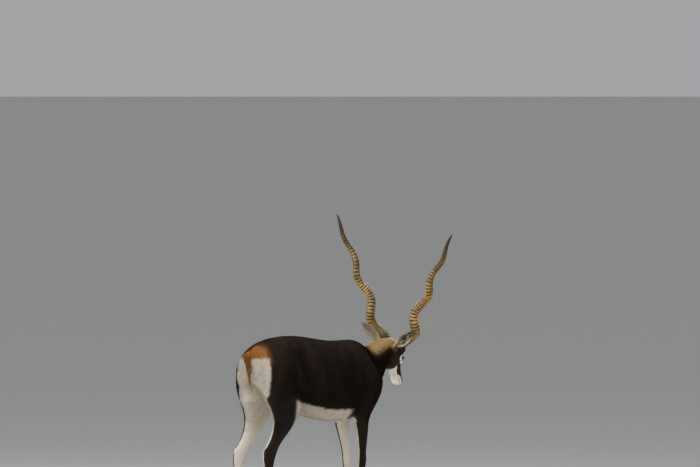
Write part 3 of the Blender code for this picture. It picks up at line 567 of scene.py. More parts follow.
def almond(side, out, widen=1.0, steps=40):
    """The rim of the eye opening, moved out and widened."""
    centre, look = eye_place(side), eye_look(side)
    across = (NOSE - look * NOSE.dot(look)).normalized()
    upward = look.cross(across)
    if upward.dot(ABOVE) < 0:
        upward = -upward
    half_length, upper, lower = EYE_OPENING
    points = []
    for step in range(steps):
        angle = 2 * math.pi * step / steps
        x = half_length * math.cos(angle)
        height = upper if math.sin(angle) > 0 else lower
        y = height * math.copysign(abs(math.sin(angle)) ** 1.2, math.sin(angle))
        depth = math.sqrt(EYE_RADIUS**2 - x * x - y * y)
        points.append(centre + (across * x + upward * y) * widen + look * (depth + out))
    return points


def eye_look(side):
    """The way an eye looks: outward, and a little toward the nose and up."""
    return (LEFT * side + NOSE * 0.20 + ABOVE * 0.12).normalized()


def eye_place(side):
    along, above, left = EYE_PLACE
    return on_head(along, above, left * side)


def ball(name, centre, radii, axes):
    """A sphere primitive stretched along three axes."""
    bpy.ops.object.select_all(action="DESELECT")
    bpy.ops.mesh.primitive_uv_sphere_add(segments=28, ring_count=18, radius=1, location=(0, 0, 0))
    obj = bpy.context.object
    obj.name = name
    rows = [[axes[j][i] * radii[j] for j in range(3)] for i in range(3)]
    stretch = Matrix(rows).to_4x4()
    obj.data.transform(Matrix.Translation(centre) @ stretch)
    return faced_outwards(obj, False)


def ring_roll(name, points, normal, radius):
    """A closed roll of skin along a ring of points."""
    points = np.array([list(p) for p in points])
    count = len(points)

    def where(column, row):
        index = np.round(column * count).astype(int) % count
        ahead = unit(points[(index + 1) % count] - points[index - 1])
        outward = unit(np.cross(ahead, np.array(normal)))
        turn = row[:, None] * 2 * math.pi
        return points[index] + (outward * np.cos(turn) + np.array(normal) * np.sin(turn)) * radius

    return wrapped_grid(name, count, 10, where)


def horn_centre(share, side):
    """A point of the horn's centreline."""
    spread = HORN_SPREAD_ROOT + (HORN_SPREAD_TIP - HORN_SPREAD_ROOT) * share + HORN_BOW * share * (1 - share)
    point = place(*HORN_MIDDLE) + UP * HORN_RISE * share
    point = point - FORWARD * HORN_LEAN_BACK * share + LEFT * side * spread
    axis = UP * HORN_RISE - FORWARD * HORN_LEAN_BACK + LEFT * side * (HORN_SPREAD_TIP - HORN_SPREAD_ROOT)
    axis.normalize()
    inward = -LEFT * side
    inward = (inward - axis * inward.dot(axis)).normalized()
    ahead = FORWARD - axis * FORWARD.dot(axis)
    ahead = (ahead - inward * ahead.dot(inward)).normalized()
    coil = HORN_COIL_ROOT + (HORN_COIL_TIP - HORN_COIL_ROOT) * share
    turn = HORN_PHASE + 2 * math.pi * HORN_TURNS * share
    return point + (inward * math.cos(turn) + ahead * math.sin(turn)) * coil


def horn_radius(share):
    """Half the horn's thickness at a share of its length."""
    run = (share - HORN_START) / (1 - HORN_START)
    return HORN_ROOT_RADIUS * (1 - run) ** HORN_TAPER + HORN_TIP_RADIUS


def search_tree(points):
    """A tree that finds the nearest of these points."""
    tree = KDTree(len(points))
    for index, point in enumerate(points):
        tree.insert(point, index)
    tree.balance()
    return tree


def nearest(tree, points):
    """The number of the tree's point that is nearest to each of these."""
    return np.array([tree.find(point)[1] for point in points])


def nearest_nodes(points, nodes):
    """The number of the node whose solid is nearest to each point."""
    labels, corners = [], []
    for number, node in enumerate(nodes):
        these = vertex_array(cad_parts[node].data)
        corners.append(these)
        labels += [number] * len(these)
    tree = search_tree(np.concatenate(corners))
    return np.array(labels)[nearest(tree, points)]


def tail_stations(shares):
    """Places, half depths and half widths at shares of the tail's length."""
    steps = np.linspace(0, 1, len(TAIL_PATH))
    rows = np.stack([np.interp(shares, steps, TAIL_PATH[:, k]) for k in range(5)], 1)
    return np.stack([rows[:, 1], -rows[:, 0], rows[:, 2]], 1) + np.array(SHIFT), rows[:, 3], rows[:, 4]


def tail_core():
    """The fleshy tail under its hair."""
    def where(column, row):
        centres, deep, wide = tail_stations(row)
        next_centres = tail_stations(np.minimum(row + 0.04, 1))[0]
        ahead = unit(next_centres - tail_stations(np.maximum(row - 0.04, 0))[0])
        across = unit(np.array([1.0, 0, 0]) - ahead * ahead[:, :1])
        out = np.cross(ahead, across)
        taper = np.where((row < 0.001) | (row > 0.999), 0.02, 1.0)
        turn = column * 2 * math.pi
        sideways = across * (np.cos(turn) * wide * taper)[:, None]
        return centres + sideways + out * (np.sin(turn) * deep * taper)[:, None]

    return wrapped_grid("tail_core", 24, 32, where)


def tail_share(points):
    """1 on the tail, 0 on the rump, and the way the tail runs at each point."""
    centres, _, wide = tail_stations(np.linspace(0, 1, 60))
    apart, station = np.full(len(points), FAR), np.zeros(len(points), int)
    for index, centre in enumerate(centres):
        distance = np.linalg.norm(points - centre, axis=1)
        station[distance < apart] = index
        apart = np.minimum(apart, distance)
    share = (1 - ramp(apart - wide[station], 0.003, 0.006)) * ramp(-body_places(points)[0], 0.656, 0.668)
    ways = unit(np.gradient(centres, axis=0) * np.array([1, 0.35, 1]))
    return share, ways[station]


def trimmed(obj, reach, keep_head):
    """Cuts a skin straight across behind the head and closes it."""
    way = plain_place(*HEAD_CUT_WAY).normalized()
    select_only(obj)
    bpy.ops.object.mode_set(mode="EDIT")
    bpy.ops.mesh.select_all(action="SELECT")
    bpy.ops.mesh.bisect(
        plane_co=place(*HEAD_CUT) + way * reach,
        plane_no=way,
        use_fill=True,
        clear_inner=keep_head,
        clear_outer=not keep_head,
    )
    bpy.ops.object.mode_set(mode="OBJECT")
    keep_largest(obj)


def body_skin():
    """Torso, neck, legs and tail as one skin, under the coat."""
    pieces = [merged_copy(node, FUSE) for node in BODY_NODES + ["head"]]
    skin = joined("skin_body", pieces + [tail_core()])
    remeshed(skin, BODY_VOXEL, MELT_ROUNDS)
    trimmed(skin, BODY_PAST_CUT, False)
    forward, _, height = body_places(vertex_array(skin.data))
    on_tail = tail_share(vertex_array(skin.data))[0]
    trunk = ramp(height, *TRUNK_HEIGHT) * (1 - ramp(forward, *TRUNK_FRONT)) * (1 - on_tail)
    evened(skin, TRUNK_ROUNDS, trunk)
    evened(skin, LIMB_ROUNDS, 1 - trunk)
    points = vertex_array(skin.data)
    points[:, 2] -= FOOT_SUNK * (1 - ramp(points[:, 2], *FOOT_HEIGHT))
    set_vertices(skin.data, points)
    return skin


def coat_depth(points):
    """How far the skin lies inside the solids: less on legs and head, and least on feet and ears."""
    height = body_places(points)[2]
    depth = LEG_COAT + TRUNK_COAT * ramp(height, 0.36, 0.60)
    depth *= 0.35 + 0.65 * ramp(height, 0.03, 0.12)
    head = ramp(toward_head(points), 0.0, 0.045)
    depth = depth * (1 - head) + HEAD_COAT * head
    return depth * (1 - 0.8 * ear_share(points))


def sink(obj, depth):
    """Moves a skin in along its normals."""
    points = vertex_array(obj.data)
    set_vertices(obj.data, points - normal_array(obj.data) * depth[:, None])


def press(mesh, line, width, depth):
    """Pushes the skin in along a line of points."""
    points, normals = vertex_array(mesh), normal_array(mesh)
    near = distance_to(points, line)
    set_vertices(mesh, points - normals * (depth * np.exp(-((near / width) ** 2)))[:, None])


def skin_point(obj, start, way):
    """Where a ray from inside the head meets its skin."""
    hit, spot, _, _ = obj.ray_cast(start, way)
    if not hit:
        raise RuntimeError("a line on the head misses the skin")
    return spot


def on_side(obj, side, spots):
    """A fine line on one side of the head's skin, through rows of along and above."""
    shares = np.linspace(0, len(spots) - 1, FACE_LINE_STEPS)
    along, above = (np.interp(shares, range(len(spots)), column) for column in zip(*spots))
    off_middle = RAY_START * side
    return [skin_point(obj, on_head(a, b, off_middle), LEFT * side) for a, b in zip(along, above)]


def face_lines(skin):
    """Mouth, nostrils, the slit before each eye, the groove of the upper lip and folds round the lids."""
    for side in (1, -1):
        press(skin.data, on_side(skin, side, MOUTH), width=0.0015, depth=0.0026)
        front = [skin_point(skin, on_head(*LIP_FRONT, left * side), NOSE) for left in LIP_FRONT_LEFT]
        press(skin.data, front, width=0.0015, depth=0.0020)
        ways = [(NOSE * ahead + LEFT * side).normalized() for ahead in NOSTRIL_TURNS]
        nostril = [skin_point(skin, on_head(*NOSTRIL, 0), way) for way in ways]
        press(skin.data, nostril, width=0.0021, depth=0.0062)
        press(skin.data, on_side(skin, side, EYE_SLIT), width=0.0026, depth=0.0030)
        press(skin.data, on_side(skin, side, JAW_FOLD), width=0.0080, depth=0.0010)
        for widen, out, depth in LID_FOLDS:
            press(skin.data, almond(side, out, widen)[UPPER_LID], width=0.0014, depth=depth)
    groove = [skin_point(skin, on_head(LIP_FRONT[0], above, 0), NOSE) for above in LIP_GROOVE_ABOVE]
    press(skin.data, groove, width=0.0011, depth=0.0016)


def horn_foot(side):
    """The swelling of the skull that carries a horn and closes round its lowest ring."""
    axis = (horn_centre(HORN_START + 0.02, side) - horn_centre(HORN_START - 0.02, side)).normalized()
    across = axis.orthogonal().normalized()
    radius = horn_radius(HORN_START) + 0.0032
    centre = horn_centre(HORN_START - 0.002, side)
    return ball("foot", centre, (radius, radius, 0.023), (across, axis.cross(across), axis))


def lid_band(side):
    """A thin band of skin over the eyeball, just outside the rim of the opening."""
    centre, look = np.array(eye_place(side)), np.array(eye_look(side))
    rim = np.array([list(p) for p in almond(side, 0.0, 1.0, 72)]) - centre
    sideways = rim - look * (rim @ look)[:, None]
    apart = np.linalg.norm(sideways, axis=1)
    ways = sideways / apart[:, None]
    lean = np.arcsin(np.clip(apart / EYE_RADIUS, 0, 1)) + LID_REACH / EYE_RADIUS

    def where(column, row):
        index = np.round(column * len(rim)).astype(int) % len(rim)
        turn = row * 2 * math.pi
        angle = (lean[index] + np.cos(turn) * 0.95 * LID_REACH / EYE_RADIUS)[:, None]
        high = (EYE_RADIUS + LID_DEPTH * (0.45 + 0.5 * np.sin(turn)))[:, None]
        return centre + (look * np.cos(angle) + ways[index] * np.sin(angle)) * high

    return wrapped_grid("lid", len(rim), 12, where)


def head_skin():
    """Head, ears and the start of the neck, with lids, lips and nostrils."""
    nodes = HEAD_NODES + ["neck"]
    pieces = [merged_copy(node, EAR_FUSE if node.startswith("ear") else FUSE) for node in nodes]
    skin = joined("skin_head", pieces)
    remeshed(skin, HEAD_VOXEL, MELT_ROUNDS)
    trimmed(skin, HEAD_PAST_CUT, True)
    evened(skin, HEAD_ROUNDS, 1 - 0.85 * ear_share(vertex_array(skin.data)))
    points = vertex_array(skin.data)
    sink(skin, coat_depth(points) + TUCKED * (1 - ramp(toward_head(points), -0.012, 0.0)))
    additions = []
    for side in (1, -1):
        rim = almond(side, out=0.0008, widen=1.12)
        additions.append(ring_roll("lid", rim, eye_look(side), radius=0.0023))
        additions.append(lid_band(side))
        additions.append(horn_foot(side))
        for name, (along, above, left), radii in FACE_SWELLINGS:
            additions.append(ball(name, on_head(along, above, left * side), radii, (NOSE, ABOVE, LEFT)))
    skin = joined("skin_head", [skin] + additions)
    remeshed(skin, HEAD_VOXEL, MELT_ROUNDS)
    keep_largest(skin)
    face_lines(skin)
    evened(skin, LAST_ROUNDS, 1 - 0.5 * ear_share(vertex_array(skin.data)))
    return drawn_out_ears(skin)


def ear_frame(side):
    """The ear's directions: along it, out of its opening, across the opening, and its root."""
    upward, outward, ahead = EAR_LIE[side]
    along = (UP * upward + LEFT * side * outward + FORWARD * ahead).normalized()
    opening = -FORWARD * 0.86 + LEFT * side * 0.12
    opening = (opening - along * opening.dot(along)).normalized()
    root = on_head(EAR_ROOT[0], EAR_ROOT[1], EAR_ROOT[2] * side)
    return along, opening, along.cross(opening), root


def ear_run(points, side):
    """Share along the ear, and depth in front of and across its middle, for an array of points."""
    along, opening, across, root = (np.array(v) for v in ear_frame(side))
    local = points - root
    return local @ along / EAR_LENGTH, local @ opening, local @ across


def ear_half_width(run):
    """Half width along the ear: a narrow stalk, a wide middle and a pointed tip."""
    leaf = np.sin(math.pi * np.clip(run * 0.94 + 0.06, 0.01, 1.0) ** 0.80) ** 0.85
    return EAR_WIDTH / 2 * (0.10 + 0.90 * leaf)


def drawn_out_ears(obj):
    """Gives both ears back the length and the point that melting and smoothing take from their tips."""
    points = vertex_array(obj.data)
    for side in (1, -1):
        run, front, sideways = ear_run(points, side)
        free = (np.hypot(front, sideways) < 0.035) & (run > EAR_FREE) & (run < 1.1)
        along, _, across, _ = (np.array(v) for v in ear_frame(side))
        reach = (EAR_REACH - EAR_FREE) / (run[free].max() - EAR_FREE)
        points[free] += along * ((run[free] - EAR_FREE) * (reach - 1) * EAR_LENGTH)[:, None]
        pointed = EAR_POINT * ramp(EAR_FREE + (run[free] - EAR_FREE) * reach, 0.62, 1.0)
        points[free] -= across * (sideways[free] * pointed)[:, None]
    set_vertices(obj.data, points)
    return obj


def ear_nearness(front, sideways, reach=0.045):
    """1 at an ear's middle line, falling off steeply at this reach from it."""
    return np.exp(-((np.hypot(front, sideways) / reach) ** 4))


def ear_share(points):
    """1 on the free part of an ear, 0 on the rest of the head."""
    share = np.zeros(len(points))
    for side in (1, -1):
        run, front, sideways = ear_run(points, side)
        close = ear_nearness(front, sideways)
        share = np.maximum(share, ramp(run, 0.10, 0.22) * (1 - ramp(run, 1.1, 1.2)) * close)
    return share


def mixed(base, colour, share):
    """Moves each colour toward another by a share for each point."""
    return base + (np.array(colour) - base) * share[:, None]


def on_line(value, line):
    """The second number of a line of pairs, where the first is value."""
    return np.interp(value, *zip(*line))


def under_white(places, facing_out, edge):
    """White of the belly, below a line along each flank, and of the insides of the legs."""
    forward, left, height = places
    flank = on_line(forward, BELLY_LINE)
    belly = 1 - ramp(height + edge, flank - 0.004, flank + 0.004)
    on_leg = np.maximum(ramp(forward, *FRONT_LEG_BACK), 1 - ramp(forward, *HIND_LEG_FRONT))
    inside = 1 - ramp(facing_out + edge * 12, *LEG_INSIDE_FACING)
    inside = np.maximum(inside, 1 - ramp(np.abs(left), *LEG_INSIDE_ASIDE))
    legs_white = inside * ramp(height, *LEG_WHITE_FOOT) * (1 - ramp(height, *LEG_WHITE_TOP))
    legs_white *= 1 - ramp(forward, *CHEST_FRONT) * ramp(height, *CHEST_FLOOR)
    under = belly * (1 - on_leg) + belly * on_leg * inside
    by_a_leg = (forward > -0.10) | (forward < -0.40)
    return np.maximum(under * ramp(height, *BELLY_FLOOR), legs_white * by_a_leg)


def rump_white(places, edge):
    """The rump patch, from the tail down the backs of the thighs, and the seam between them."""
    forward, left, height = places
    rear = on_line(height, RUMP_FRONT)
    patch = 1 - ramp(forward + edge, rear - 0.005, rear + 0.005)
    patch *= (1 - ramp(height + edge, *RUMP_TOP)) * ramp(height, *RUMP_FLOOR)
    left_edge = on_line(height, RUMP_LEFT)
    patch *= 1 - ramp(left + edge * 1.5, left_edge - 0.003, left_edge + 0.003) * ramp(height, *BUTTOCK_FLOOR)
    between = (1 - ramp(np.abs(left) + edge, *SEAM_ASIDE)) * (1 - ramp(forward, *SEAM_FRONT))
    between *= (1 - ramp(height + edge, *RUMP_TOP)) * ramp(height, *BUTTOCK_FLOOR)
    return np.maximum(patch, between)


def croup_rufous(places, edge):
    """Rufous above the rump patch, broken by a dark stripe just to the left of the midline."""
    forward, left, height = places
    croup = 1 - ramp(forward + edge * 2, *CROUP_FRONT)
    croup *= ramp(height, *CROUP_FLOOR) * (1 - ramp(height + edge, *CROUP_TOP))
    stripe = ramp(left + edge, *CROUP_STRIPE_RIGHT) * (1 - ramp(left + edge, *CROUP_STRIPE_LEFT))
    croup *= 1 - stripe * ramp(height, *CROUP_STRIPE_FLOOR)
    return croup


def nape_cream(places, edge):
    """Cream along the top of the neck, starting ahead of the withers."""
    forward, left, height = places
    middle = on_line(forward, NAPE_MIDDLE)
    floor = on_line(forward, NAPE_FLOOR)
    nape = 1 - ramp(np.abs(left - middle) + edge * 2, *NAPE_ASIDE)
    nape = nape * ramp(height + edge * 2, floor - 0.014, floor + 0.018)
    return nape * ramp(forward + edge * 3, *NAPE_BACK)


def body_colours(points, normals):
    """The coat's markings on trunk, neck, legs and tail."""
    places = body_places(points)
    forward, left, height = places
    edge = wobble(points, 0.040, 1) * 0.0030 + wobble(points, 0.012, 2) * 0.0020
    warm = 0.10 + 0.12 * wobble(points, 0.09, 3)
    warm += 0.30 * ramp(-forward, 0.42, 0.60) * ramp(height, 0.55, 0.75)
    base = np.tile(np.array(BLACK_BROWN), (len(points), 1))
    base = mixed(base, WARM_BROWN, np.clip(warm, 0, 1))
    white = under_white(places, np.sign(left) * normals[:, 0], edge)
    white = np.maximum(white, rump_white(places, edge))
    base = mixed(base, RUFOUS, croup_rufous(places, edge) * 0.96)
    base = mixed(base, WHITE, white)
    base = mixed(base, NAPE_CREAM, nape_cream(places, edge))

    # Tail: brown along its top, paler at the sides and toward the point
    on_tail = tail_share(points)[0]
    base = mixed(base, TAIL_BROWN, on_tail)
    faded = 1 - ramp(height + edge * 2, *TAIL_PALE_TOP)
    faded = np.maximum(faded, 1 - ramp(normals[:, 1] + edge * 20, *TAIL_PALE_FACING))
    base = mixed(base, np.array(RUFOUS) * 0.6 + np.array(WHITE) * 0.4, on_tail * faded * 0.85)
    return mixed(base, np.array(WARM_BROWN) * 0.35, 1 - ramp(height, *FOOT_BROWN_TOP))


def nose_pad(along, above, start):
    """1 on the bare end of the nose, between the nostrils."""
    bare = ramp(along, start, NOSE_PAD_END) * ramp(above, *NOSE_PAD_FLOOR)
    return bare * (1 - ramp(above, *NOSE_PAD_TOP))


def face_colours(base, points, edge):
    """Cream crown, white eye rings, chin and muzzle, and black rims, slits, nose pad and lips."""
    along, above, left = head_places(points)
    crown = (1 - ramp(along + edge, *CROWN_ALONG)) * (1 - ramp(np.abs(left) + edge, *CROWN_ASIDE))
    base = mixed(base, NAPE_CREAM, crown * ramp(above + edge, *CROWN_ABOVE))
    for side in (1, -1):
        rim = distance_to(points, almond(side, RIM_OUT, 1.0, RIM_STEPS))
        wide = 0.0085 + 0.0030 * ramp(along, 0.030, 0.050) - 0.0020 * ramp(above, -0.026, -0.014)
        ring = (1 - ramp(rim + edge * 1.3, wide - 0.0012, wide + 0.0012)) * (np.sign(left) == side)
        base = mixed(base, WHITE, ring)
        base = mixed(base, NOSE_BLACK, 1 - ramp(rim, 0.0018, 0.0048))
        slit = distance_to(points, [on_head(a, b, 0.030 * side) for a, b in SLIT_MARK])
        base = mixed(base, NOSE_BLACK, 1 - ramp(slit, 0.004, 0.008))
    jaw = ramp(along + edge, *JAW_ALONG) * (1 - ramp(above + edge, *JAW_ABOVE))
    lip_line = on_line(along, LIP_LINE)
    muzzle = 1 - ramp(above + edge, lip_line - 0.001, lip_line + 0.001)
    muzzle = ramp(along + edge, *MUZZLE_ALONG) * muzzle
    base = mixed(base, WHITE, np.clip(jaw + muzzle, 0, 1))
    base = mixed(base, NOSE_BLACK, nose_pad(along, above, 0.1615))
    lips = np.exp(-(((above - LIPS_ABOVE) / 0.0013) ** 2)) * ramp(along, *LIPS_ALONG)
    return mixed(base, NOSE_BLACK, lips * 0.85)


def ear_colours(base, points, normals, side):
    """Fawn outside, and inside a hollow darkened by painted shade and streaked with pale hair, with a dark
    tip and rim.
    """
    run, front, sideways = ear_run(points, side)
    on_ear = ramp(run, 0.02, 0.12) * ear_nearness(front, sideways) * (run < 1.2)
    toward_opening = normals @ np.array(ear_frame(side)[1])
    facing = ramp(toward_opening, 0.0, 0.30) * ramp(run, 0.08, 0.18)
    base = mixed(base, EAR_FAWN, on_ear)
    base = mixed(base, np.array(EAR_FAWN) * 1.5, on_ear * ramp(-toward_opening, 0.3, 0.9) * 0.5)
    across = np.abs(sideways) / np.maximum(ear_half_width(run), 0.004)
    # Painted shade deep in the ear's cup, fading toward its rim, strongest in the right ear
    deep = (1 - ramp(across, 0.45, 0.95)) * ramp(run, 0.10, 0.30) * EAR_CUP_SHADE[side]
    streaks = ramp(np.sin(sideways / 0.0021 + run * 2 + 2.0 * wobble(points, 0.022, 9)), -0.1, 0.9)
    streaks *= np.clip(0.75 + 0.5 * wobble(points, 0.014, 13), 0, 1)
    pale = np.clip(1 - deep * (1 - 0.75 * streaks), 0, 1) * (1 - 0.25 * ramp(run, 0.6, 0.9))
    # Painted shade dims the pale hair inside the left ear
    hair = np.array(EAR_HAIR) * EAR_INSIDE_SHADE[side]
    inside = np.array(SHADED_EAR_COLOUR) + (hair - np.array(SHADED_EAR_COLOUR)) * pale[:, None]
    base = base + (inside - base) * (on_ear * facing)[:, None]
    rim = ramp(across, 0.88, 1.0) * ramp(run, 0.45, 0.65) * (1 - ramp(across, 1.2, 1.4))
    rim = rim * (1 - ramp(run, 0.80, 0.90))
    return mixed(base, BLACK_BROWN, np.maximum(ramp(run, 0.91, 1.0) * 0.8, rim) * on_ear * 0.5)


def head_colours(points, normals):
    """The coat's markings on the head and ears."""
    edge = wobble(points, 0.018, 5) * 0.0016 + wobble(points, 0.006, 6) * 0.0008
    base = np.tile(np.array(BLACK_BROWN), (len(points), 1))
    base = mixed(base, WARM_BROWN, np.clip(0.22 + 0.22 * wobble(points, 0.05, 7), 0, 1))
    base = face_colours(base, points, edge)
    for side in (1, -1):
        base = ear_colours(base, points, normals, side)
    return base


def head_share(points, start, end):
    """0 on the body, 1 on the head and on the ears."""
    return np.maximum(ramp(toward_head(points), start, end), ear_share(points))


def markings(points, normals):
    """The markings of the whole animal: the head's ahead of the cut, the body's behind it."""
    share = head_share(points, -0.004, 0.018)
    colours = np.empty((len(points), 3))
    body, head = share < 1, share > 0
    both = body & head
    colours[body] = body_colours(points[body], normals[body]) * (1 - share[body])[:, None]
    colours[both] += head_colours(points[both], normals[both]) * share[both][:, None]
    colours[~body] = head_colours(points[~body], normals[~body])
    return colours


def distance_to(points, spots):
    """How far each point lies from the nearest of a few spots."""
    apart = np.full(len(points), FAR)
    for spot in spots:
        apart = np.minimum(apart, np.linalg.norm(points - np.array(spot), axis=1))
    return apart


def body_lie(points, labels):
    """The way the hair lies on the body, before it is evened and laid on the skin."""
    forward, left, _ = body_places(points)
    down = np.array([0.0, 0.0, -1.0])
    back = np.array([0.0, 1.0, 0.0])
    aside = np.clip(np.abs(left) / 0.12, 0, 1)
    lie = back + down * (0.55 * aside)[:, None]
    seat = (1 - ramp(forward, -0.66, -0.58))[:, None]
    lie = lie * (1 - seat) + (down + back * 0.15) * seat
    neck = (labels == BODY_NODES.index("neck"))[:, None]
    lie = np.where(neck, back * 0.9 + down * 0.35 - np.array([0.15, 0, 0]), lie)
    leg = (labels >= BODY_NODES.index("leg_front_left"))[:, None]
    lie = np.where(leg, down + back * 0.12, lie)
    on_tail, way = tail_share(points)
    return lie + (way - lie) * on_tail[:, None]


def head_lie(points):
    """Hair runs from the nose back over the face and the poll, and out along the ears."""
    along, above, left = head_places(points)
    lie = np.tile(-np.array(NOSE), (len(points), 1))
    lie += np.array(LEFT) * (np.sign(left) * 0.25 * ramp(np.abs(left), 0.0, 0.03))[:, None]
    lie += -np.array(ABOVE) * (0.35 * ramp(-above, 0.02, 0.06))[:, None]
    poll = ramp(-along, 0.005, 0.040)[:, None]
    lie = lie * (1 - poll) + (-np.array(FORWARD) - np.array(UP) * 0.2) * poll
    for side in (1, -1):
        run, front, sideways = ear_run(points, side)
        on_ear = ramp(run, -0.02, 0.12) * ear_nearness(front, sideways, 0.04)
        ear_way = np.array(ear_frame(side)[0])
        lie = lie * (1 - on_ear[:, None]) + ear_way * on_ear[:, None]
    return lie


def evened_field(mesh, field, rounds):
    """Averages a vector on each vertex with its neighbours, again and again."""
    edges = np.empty(len(mesh.edges) * 2, np.int32)
    mesh.edges.foreach_get("vertices", edges)
    a, b = edges.reshape(-1, 2).T
    count = len(mesh.vertices)
    degree = np.bincount(a, minlength=count) + np.bincount(b, minlength=count)
    for _ in range(rounds):
        total = np.empty_like(field)
        for axis in range(3):
            total[:, axis] = np.bincount(a, field[b, axis], count) + np.bincount(b, field[a, axis], count)
        field = unit(field + total / np.maximum(degree, 1)[:, None])
    return field


def triangles_of(mesh):
    mesh.calc_loop_triangles()
    corners = np.empty(len(mesh.loop_triangles) * 3, np.int32)
    mesh.loop_triangles.foreach_get("vertices", corners)
    return corners.reshape(-1, 3)


class Pelt:
    """A skin with all that tufts need to know: places, normals, lie and triangles."""

    def __init__(self, obj, lie):
        mesh = obj.data
        self.points = vertex_array(mesh)
        self.normals = normal_array(mesh)
        self.lie = evened_field(mesh, unit(lie), 30)
        self.triangles = triangles_of(mesh)
        self.tree = search_tree(self.points)

    def roots(self, density, chosen):
        """Spreads roots over the triangles that are chosen, by a density in tufts per square metre."""
        corners = self.triangles
        a, b, c = (self.points[corners[:, k]] for k in range(3))
        middle = (a + b + c) / 3
        area = np.linalg.norm(np.cross(b - a, c - a), axis=1) / 2
        load = area * density(middle) * chosen(middle)
        total = load.sum()
        count = int(total)
        steps = (np.arange(count) + rng.random(count)) / count * total
        pick = np.minimum(np.searchsorted(np.cumsum(load), steps), len(corners) - 1)
        u, v = rng.random(count), rng.random(count)
        fold = u + v > 1
        u, v = np.where(fold, 1 - u, u), np.where(fold, 1 - v, v)
        weights = np.stack([1 - u - v, u, v], 1)

        def blend(values):
            return np.einsum("nk,nkd->nd", weights, values[corners[pick]])

        return blend(self.points), unit(blend(self.normals)), unit(blend(self.lie))


def tufts(
    name, pelt, density, chosen, length, width, lift, wrap,
    spread=HAIR_SPREAD, rooted=HAIR_ROOTED, loose=False,
):
    """Thin closed wedges of hair, each lying along the coat with its tip just off the skin."""
    roots, normals, lie = pelt.roots(density, chosen)
    count = len(roots)
    lie = unit(lie - normals * np.sum(lie * normals, axis=1, keepdims=True))
    across = np.cross(normals, lie)
    turn = wobble(roots, 0.045, 11) * 0.10 + rng.normal(0, spread, count)
    lie = lie * np.cos(turn)[:, None] + across * np.sin(turn)[:, None]
    across = np.cross(normals, lie)
    long = length(roots) * rng.uniform(0.75, 1.25, count)
    wide = width(roots) * rng.uniform(0.75, 1.25, count)
    high = lift(roots) * rng.uniform(0.45, 1.25, count)
    tips = roots + lie * long[:, None]
    if loose:
        tips += normals * high[:, None]
    else:
        near = nearest(pelt.tree, tips)
        over = np.sum((tips - pelt.points[near]) * pelt.normals[near], axis=1)
        tips += pelt.normals[near] * (high - over)[:, None]
    base = roots - normals * rooted
    half = across * (wide / 2)[:, None]
    points = np.empty((count, 4, 3))
    points[:, 0] = base - half
    points[:, 1] = base + half
    points[:, 2] = base - normals * TUFT_DEPTH - lie * (wide * 0.3)[:, None]
    points[:, 3] = tips
    strayed = roots + lie * (long * rng.uniform(-0.35, 0.15, count))[:, None]
    tint = markings(strayed + rng.normal(0, 0.0008, (count, 3)), normals)
    shade = rng.uniform(0.80, 1.18, count)[:, None] * (1 + 0.08 * wobble(roots, 0.02, 12))[:, None]
    tone = np.empty((count, 4, 3))
    tone[:, :3] = (tint * shade * 0.80)[:, None]
    tone[:, 3] = tint * shade * 1.12
    spots = wrap(roots)[:, None] * 0.99 + 0.005 + UV_PATCH[None]
    return mesh_of_tufts(name, points, WEDGE_FACES, tone, spots)


def mesh_of_tufts(name, points, faces, tone, spots):
    """Joins all tufts of a piece in one mesh, with its colours and its map."""
    count, corners = points.shape[:2]
    mesh = bpy.data.meshes.new(name)
    obj = bpy.data.objects.new(name, mesh)
    bpy.context.scene.collection.objects.link(obj)
    index = (faces[None] + (np.arange(count) * corners)[:, None, None]).reshape(-1, 3)
    mesh.vertices.add(count * corners)
    mesh.vertices.foreach_set("co", points.astype(np.float32).ravel())
    mesh.loops.add(len(index) * 3)
    mesh.loops.foreach_set("vertex_index", index.astype(np.int32).ravel())
    mesh.polygons.add(len(index))
    mesh.polygons.foreach_set("loop_start", np.arange(0, len(index) * 3, 3, dtype=np.int32))
    mesh.update(calc_edges=True)
    colour_attribute(obj, "Coat", np.clip(tone.reshape(-1, 3), 0, 1))
    layer = mesh.uv_layers.new(name="OFBake")
    corner_spots = np.clip(spots.reshape(-1, 2), 0, 1)[index.ravel()]
    layer.data.foreach_set("uv", corner_spots.astype(np.float32).ravel())
    return obj


def round_the(axis_point, axis, start, end):
    """A map that unrolls the skin round an axis: angle one way, the run from start to end the other."""
    axis = np.array(axis.normalized())
    aside = np.array(Vector(axis).orthogonal().normalized())
    third = np.cross(axis, aside)

    def wrap(points):
        local = points - np.array(axis_point)
        angle = np.arctan2(local @ third, local @ aside)
        run = (local @ axis - start) / (end - start)
        return np.clip(np.stack([angle / (2 * math.pi) + 0.5, run], 1), 0, 1)

    return wrap


def node_shader(material):
    return material.node_tree.nodes["Principled BSDF"]


def new_material(name, roughness):
    material = bpy.data.materials.new(name)
    material.use_nodes = True
    node_shader(material).inputs["Roughness"].default_value = roughness
    return material


def attribute_node(material, name):
    node = material.node_tree.nodes.new("ShaderNodeAttribute")
    node.attribute_name = name
    return node


def link(material, a, b):
    material.node_tree.links.new(a, b)


def noise_node(material, scale, detail, stretch=(1, 1, 1)):
    """Noise on object coordinates, stretched if asked."""
    nodes = material.node_tree.nodes
    coordinates = nodes.new("ShaderNodeTexCoord")
    mapping = nodes.new("ShaderNodeMapping")
    mapping.inputs["Scale"].default_value = stretch
    noise = nodes.new("ShaderNodeTexNoise")
    noise.inputs["Scale"].default_value = scale
    noise.inputs["Detail"].default_value = detail
    link(material, coordinates.outputs["Object"], mapping.inputs["Vector"])
    link(material, mapping.outputs["Vector"], noise.inputs["Vector"])
    return noise


def bumped(material, pattern, distance, strength):
    """Lets a pattern raise the surface."""
    bump = material.node_tree.nodes.new("ShaderNodeBump")
    bump.inputs["Distance"].default_value = distance
    bump.inputs["Strength"].default_value = strength
    link(material, pattern.outputs["Fac"], bump.inputs["Height"])
    link(material, bump.outputs["Normal"], node_shader(material).inputs["Normal"])


